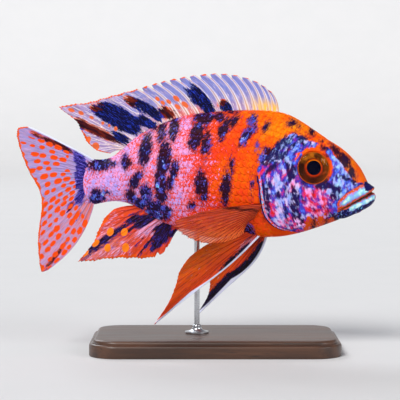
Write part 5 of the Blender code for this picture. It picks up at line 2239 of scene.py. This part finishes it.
def turned(name: str, profile: Array, ahead: Array, up: Array, out: Array, centre: Array,
           values: Callable[[Array, Array], Array] | None = None, steps: int = 48) -> Mesh:
    """Surface of a (radius, height) profile turned about an axis.

    Args:
        name: Name of the mesh.
        profile: Radius and height a row.
        ahead: Direction of the turn's start.
        up: Direction a quarter turn on.
        out: Direction of the axis.
        centre: Point of height 0 on the axis.
        values: Gives the dial attribute from radius and turn, if any.
        steps: Faces round the axis.

    Returns:
        The mesh.
    """
    turn = np.linspace(0, 2 * math.pi, steps + 1)
    radius, height = profile[:, :1], profile[:, 1:]
    points = centre + (radius * np.cos(turn))[..., None] * ahead + (radius * np.sin(turn))[..., None] * up
    points = points + (height + 0 * turn)[..., None] * out
    dial = {"dial": values(radius, turn)} if values else None
    return build_mesh(name, points, grid_faces(*points.shape[:2]), dial)


@dataclass
class Eye:
    """Eye set in its socket: a turned ball with iris and pupil, under a clear cornea."""

    form: BodyForm
    side: Side
    steps_round: int = 96
    pupil: float = 3.0
    iris: float = 6.75
    pupil_dome: float = 0.55
    cornea_height: float = 1.45
    cornea_thick: float = 0.25
    sunk: float = 0.55
    pupil_rim: Knots = ((3.03, 0.62), (3.2, 0.70), (3.42, 0.66), (3.6, 0.52))
    back: Knots = ((6.75, 0.0), (6.75, -0.4), (6.0, -1.8), (4.0, -2.6), (0.0, -2.9))

    def part(self, name: str, profile: Array) -> Mesh:
        """Turned surface about the flank's normal at the eye, with its radius and turn kept.

        Args:
            name: Name of the piece, without its side.
            profile: Radius and height a row.

        Returns:
            The mesh.
        """
        x, z = EYE_PLACE
        out = self.form.flank_normal(np.array(x), np.array(z))
        ahead = unit(np.cross(out, (0.0, 0.0, 1.0)))
        centre = np.array([x, float(self.form.flank(np.array(x), np.array(z))), z]) - out * self.sunk
        mirror = np.array((1, self.side.value, 1))
        return turned(
            f"{name}_{self.side.label}", profile, ahead * mirror, np.cross(ahead, out) * mirror, out * mirror,
            centre * mirror, self.dial, self.steps_round,
        )

    @staticmethod
    def dial(radius: Array, turn: Array) -> Array:
        """Radius in centimetres, and the turn's cosine and sine brought to 0 to 1."""
        return stack(radius * 0.1, 0.5 + 0.5 * np.cos(turn), 0.5 + 0.5 * np.sin(turn))

    def build(self, iris: Material, clear: Material) -> None:
        """Builds the ball and the cornea.

        Args:
            iris: Finish of the ball.
            clear: Finish of the cornea.
        """
        share, run = np.linspace(0, 1, 16), np.linspace(0, 1, 18)
        dome = stack(self.pupil * share, 0.5 + self.pupil_dome * np.sqrt(1 - share**2))
        height = np.linspace(0.48, 0.10, 18) - 0.10 * np.sin(math.pi * run)
        slope = stack(np.linspace(3.8, self.iris - 0.5, 18), height)
        edge = [(self.iris - 0.3, 0.14), (self.iris - 0.1, 0.13)]
        ball = self.part("eye_ball", np.concatenate([dome, self.pupil_rim, slope, edge, self.back]))
        angle = np.linspace(0, math.pi / 2, 20)
        outer = stack(self.iris * np.sin(angle), 0.05 + self.cornea_height * np.cos(angle))
        inner = outer[::-1] * (0.985, 1) - (0, self.cornea_thick)
        add_piece(ball, iris, Slot.EYE, [f"eye_{self.side.label}"])
        add_piece(self.part("cornea", np.concatenate([outer, inner])), clear, Slot.EYE)


@dataclass
class Stand:
    """Plain display stand: a low plinth with a moulded edge, and one turned rod."""

    form: BodyForm
    length: float = 104.0
    width: float = 58.0
    height: float = 7.0
    corner: float = 12.0
    rod_x: float = -7.6
    rod_radius: float = 1.5
    neck_radius: float = 1.12
    foot_radius: float = 5.0
    corner_steps: int = 16

    def outline(self, inset: Array) -> Array:
        """Rounded rectangle, drawn in by inset: quarter circles at the corners, joined by straight runs.

        Args:
            inset: Distances in from the edge, one a ring.

        Returns:
            Closed rings of (x, y) points.
        """
        turn = np.linspace(0, math.pi / 2, self.corner_steps)
        radius = np.maximum(self.corner - inset, 0.3)[:, None]
        rings = []
        for quarter, (sx, sy) in enumerate(((1, 1), (-1, 1), (-1, -1), (1, -1))):
            angle = turn + quarter * math.pi / 2
            x = sx * (self.length / 2 - self.corner) + radius * np.cos(angle)
            y = sy * (self.width / 2 - self.corner) + radius * np.sin(angle)
            rings.append(stack(x, y))
        ring = np.concatenate(rings, axis=1)
        return np.concatenate([ring, ring[:, :1]], axis=1)

    def build(self, wood: Material, steel: Material) -> None:
        """Builds the plinth from its edge profile, and turns the rod from its own.

        Args:
            wood: Finish of the plinth.
            steel: Finish of the rod.
        """
        bend = np.linspace(0, math.pi / 2, 10)
        profile = np.concatenate([
            [(0.5, 0.0), (0.12, 0.12), (0.0, 0.5), (0.0, 4.2)],
            stack(1.1 * (1 - np.cos(bend)), 4.2 + 1.1 * np.sin(bend)),
            [(1.5, 5.3), (1.5, 5.62)],
            stack(1.7 + 1.3 * (1 - np.cos(bend)), 5.7 + 1.3 * np.sin(bend)),
        ])
        ring = self.outline(profile[:, 0])
        points = stack(ring[..., 0], ring[..., 1], profile[:, 1:])
        top = points[-1:] * (0.86, 0.8, 1)
        points = np.concatenate([0 * top, points, top, 0 * top + (0, 0, self.height)])
        base = build_mesh("plinth", points, grid_faces(*points.shape[:2]))
        base.set_sharp_from_angle(angle=math.radians(35))
        add_piece(base, wood, Slot.BASE, ["stand_base"])
        top_z = float(self.form.underside(np.array(self.rod_x), 0.0)) - 0.45
        post = turned("support_rod", self.rod_profile(top_z), *np.eye(3), np.array((self.rod_x, 0, 0)))
        post.set_sharp_from_angle(angle=math.radians(40))
        add_piece(post, steel, Slot.ROD, ["stand_rod"])

    def rod_profile(self, top: float) -> Array:
        """(radius, height) of the rod: a dished foot, a ring above it, a plain shaft and a small cup.

        Args:
            top: Height of the rod's top.

        Returns:
            The profile.
        """
        foot, radius, neck = self.height + 0.02, self.rod_radius, self.neck_radius
        bend, bead = np.linspace(0, math.pi / 2, 10), np.linspace(-math.pi / 2, math.pi / 2, 9)
        return np.concatenate([
            [(0.0, foot), (self.foot_radius - 0.2, foot), (self.foot_radius, foot + 0.2)],
            stack(self.foot_radius - 3.0 * np.sin(bend), foot + 0.7 + 1.7 * (1 - np.cos(bend))),
            [(radius, foot + 2.5)],
            stack(radius + 0.45 * np.cos(bead), foot + 3.1 + 0.45 * np.sin(bead)),
            [(neck, foot + 3.7)],
            stack(neck + 0.3 * np.cos(bead), top - 1.6 + 0.3 * np.sin(bead)),
            [(1.3, top - 1.1), (radius, top - 0.2), (1.45, top), (0.0, top)],
        ])


@dataclass
class Studio:
    """Camera at the photograph's angle, soft lights, and a pale floor that curves up behind."""

    aim: tuple[float, float, float] = (-6.3, 0.0, 63.1)
    distance: float = 700.0
    elevation: float = 3.0
    lens: float = 150.0
    floor_radius: float = 2000.0
    rim_height: float = 800.0

    def build(self, paper: Material) -> None:
        """Makes the camera, the lights, the world and the floor.

        Args:
            paper: Finish of the floor.
        """
        scene = bpy.context.scene
        scene.view_settings.view_transform = "Standard"
        rise = math.radians(self.elevation)
        camera = bpy.data.cameras.new("camera")
        camera.lens = self.lens
        camera.sensor_width = 36.0
        camera.clip_start = 0.01
        back = Vector((0, -math.cos(rise), math.sin(rise))) * self.distance
        scene.camera = self.placed(camera, Vector(self.aim) + back)
        scene.world = bpy.data.worlds.new("studio")
        scene.world.use_nodes = True
        sky = scene.world.node_tree.nodes["Background"]
        sky.inputs[0].default_value = (0.93, 0.95, 1.0, 1)
        sky.inputs[1].default_value = 0.27
        self.light("key", (-650, -1075, 1400), 0.45, 2.62, (1.0, 0.98, 0.95))
        self.light("fill", (1300, -950, 600), 0.58, 1.45, (1.0, 1.0, 1.0))
        self.light("back", (-650, 1250, 1150), 0.5, 1.06, (0.92, 0.96, 1.0))
        self.floor(paper)

    def placed(self, data: bpy.types.ID, place: Vector) -> Object:
        """Object of a camera or lamp, turned to the aim.

        Args:
            data: Camera or lamp.
            place: Its place in millimetres.

        Returns:
            The object.
        """
        holder = link(data.name, data)
        holder.location = place * MM
        holder.rotation_euler = (Vector(self.aim) - place).to_track_quat("-Z", "Y").to_euler()
        return holder

    def light(self, name: str, place: tuple[float, float, float], angle: float, strength: float,
              colour: tuple[float, float, float]) -> None:
        """Far lamp, seen from the fish at an angle across in radians.

        Args:
            name: Name of the lamp.
            place: Its place.
            angle: How wide it looks.
            strength: Its strength.
            colour: Its colour.
        """
        lamp = bpy.data.lights.new(name, "SUN")
        lamp.angle = angle
        lamp.energy = strength
        lamp.color = colour
        self.placed(lamp, Vector(place))

    def floor(self, paper: Material) -> None:
        """Round sheet: a flat floor that curves up to a low rim far from the fish on all sides.

        Args:
            paper: Its finish.
        """
        turn, around = np.linspace(0, math.pi / 2, 16), np.linspace(0, 2 * math.pi, 97)[None, :]
        out = np.append(0.0, self.floor_radius + self.rim_height * np.sin(turn))[:, None]
        z = np.append(0.0, self.rim_height - self.rim_height * np.cos(turn))[:, None]
        points = stack(out * np.cos(around), out * np.sin(around), z)
        mesh = build_mesh("studio_floor", points, grid_faces(*points.shape[:2]), turn=False)
        mesh.materials.append(paper)
        link(mesh.name, mesh)


def main() -> None:
    """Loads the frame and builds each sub-assembly in order."""
    logging.basicConfig(level=logging.INFO, format="%(message)s")
    for old in list(bpy.data.objects):
        bpy.data.objects.remove(old)
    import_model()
    Studio().build(PaperFinish().build())
    effects = Effects()
    markings = Markings()
    lay = BodyLay(FORM)
    Skin(FORM, markings).build(HideFinish("wet_hide").build(effects))
    scale_hide = HideFinish("wet_scales", roughness=0.46, coat=0.03, bump=0.04).build(effects)
    cover_hide = HideFinish("wet_gill_cover", roughness=0.38, coat=0.05).build(effects)
    iris, clear = IrisFinish().build(), ClearFinish().build()
    back = WebFinish("spiny_membrane", ray_colour=(244, 230, 232), lace_colour=(226, 212, 224),
                     spot_colour=(232, 106, 60), ray_share=0.9, line_share=0.7).build(effects)
    tail = WebFinish("tail_membrane", ray_colour=(174, 146, 200), lace_colour=(192, 162, 218),
                     ink_colour=(34, 20, 104), fleck_colour=(128, 112, 240), ray_share=0.6).build(effects)
    vent = WebFinish("orange_membrane", ray_colour=(150, 20, 30), lace_colour=(224, 180, 232),
                     ink_colour=(34, 6, 24), fleck_colour=(58, 50, 160), spot_colour=(255, 132, 26),
                     ray_share=0.55).build(effects)
    warm = WebFinish("belly_membrane", ray_colour=(156, 36, 8), lace_colour=(234, 190, 226),
                     ink_colour=(20, 8, 18), fleck_colour=(44, 32, 92), ray_share=0.8).build(effects)
    sheer = WebFinish("sheer_membrane", ray_colour=(110, 16, 4), lace_colour=(255, 128, 54),
                      ink_colour=(70, 20, 12), fleck_colour=(110, 34, 16), ray_share=0.9,
                      alpha=0.6).build(effects)
    fins = FinSet(FORM)
    fins.dorsal().build(back, "dorsal_fin")
    fins.tail().build(tail, "tail_fin")
    fins.anal().build(vent, "anal_fin")
    for side in Side:
        ScaleCoat(lay, markings, side).build(scale_hide)
        GillCover(FORM, markings, side).build(cover_hide)
        Eye(FORM, side).build(iris, clear)
        fins.pelvic(side).build(warm, f"pelvic_fin_{side.label}")
        fins.pectoral(side).build(sheer, f"pectoral_fin_{side.label}")
    Stand(FORM).build(WoodFinish().build(), SteelFinish().build())


if __name__ == "__main__":
    main()
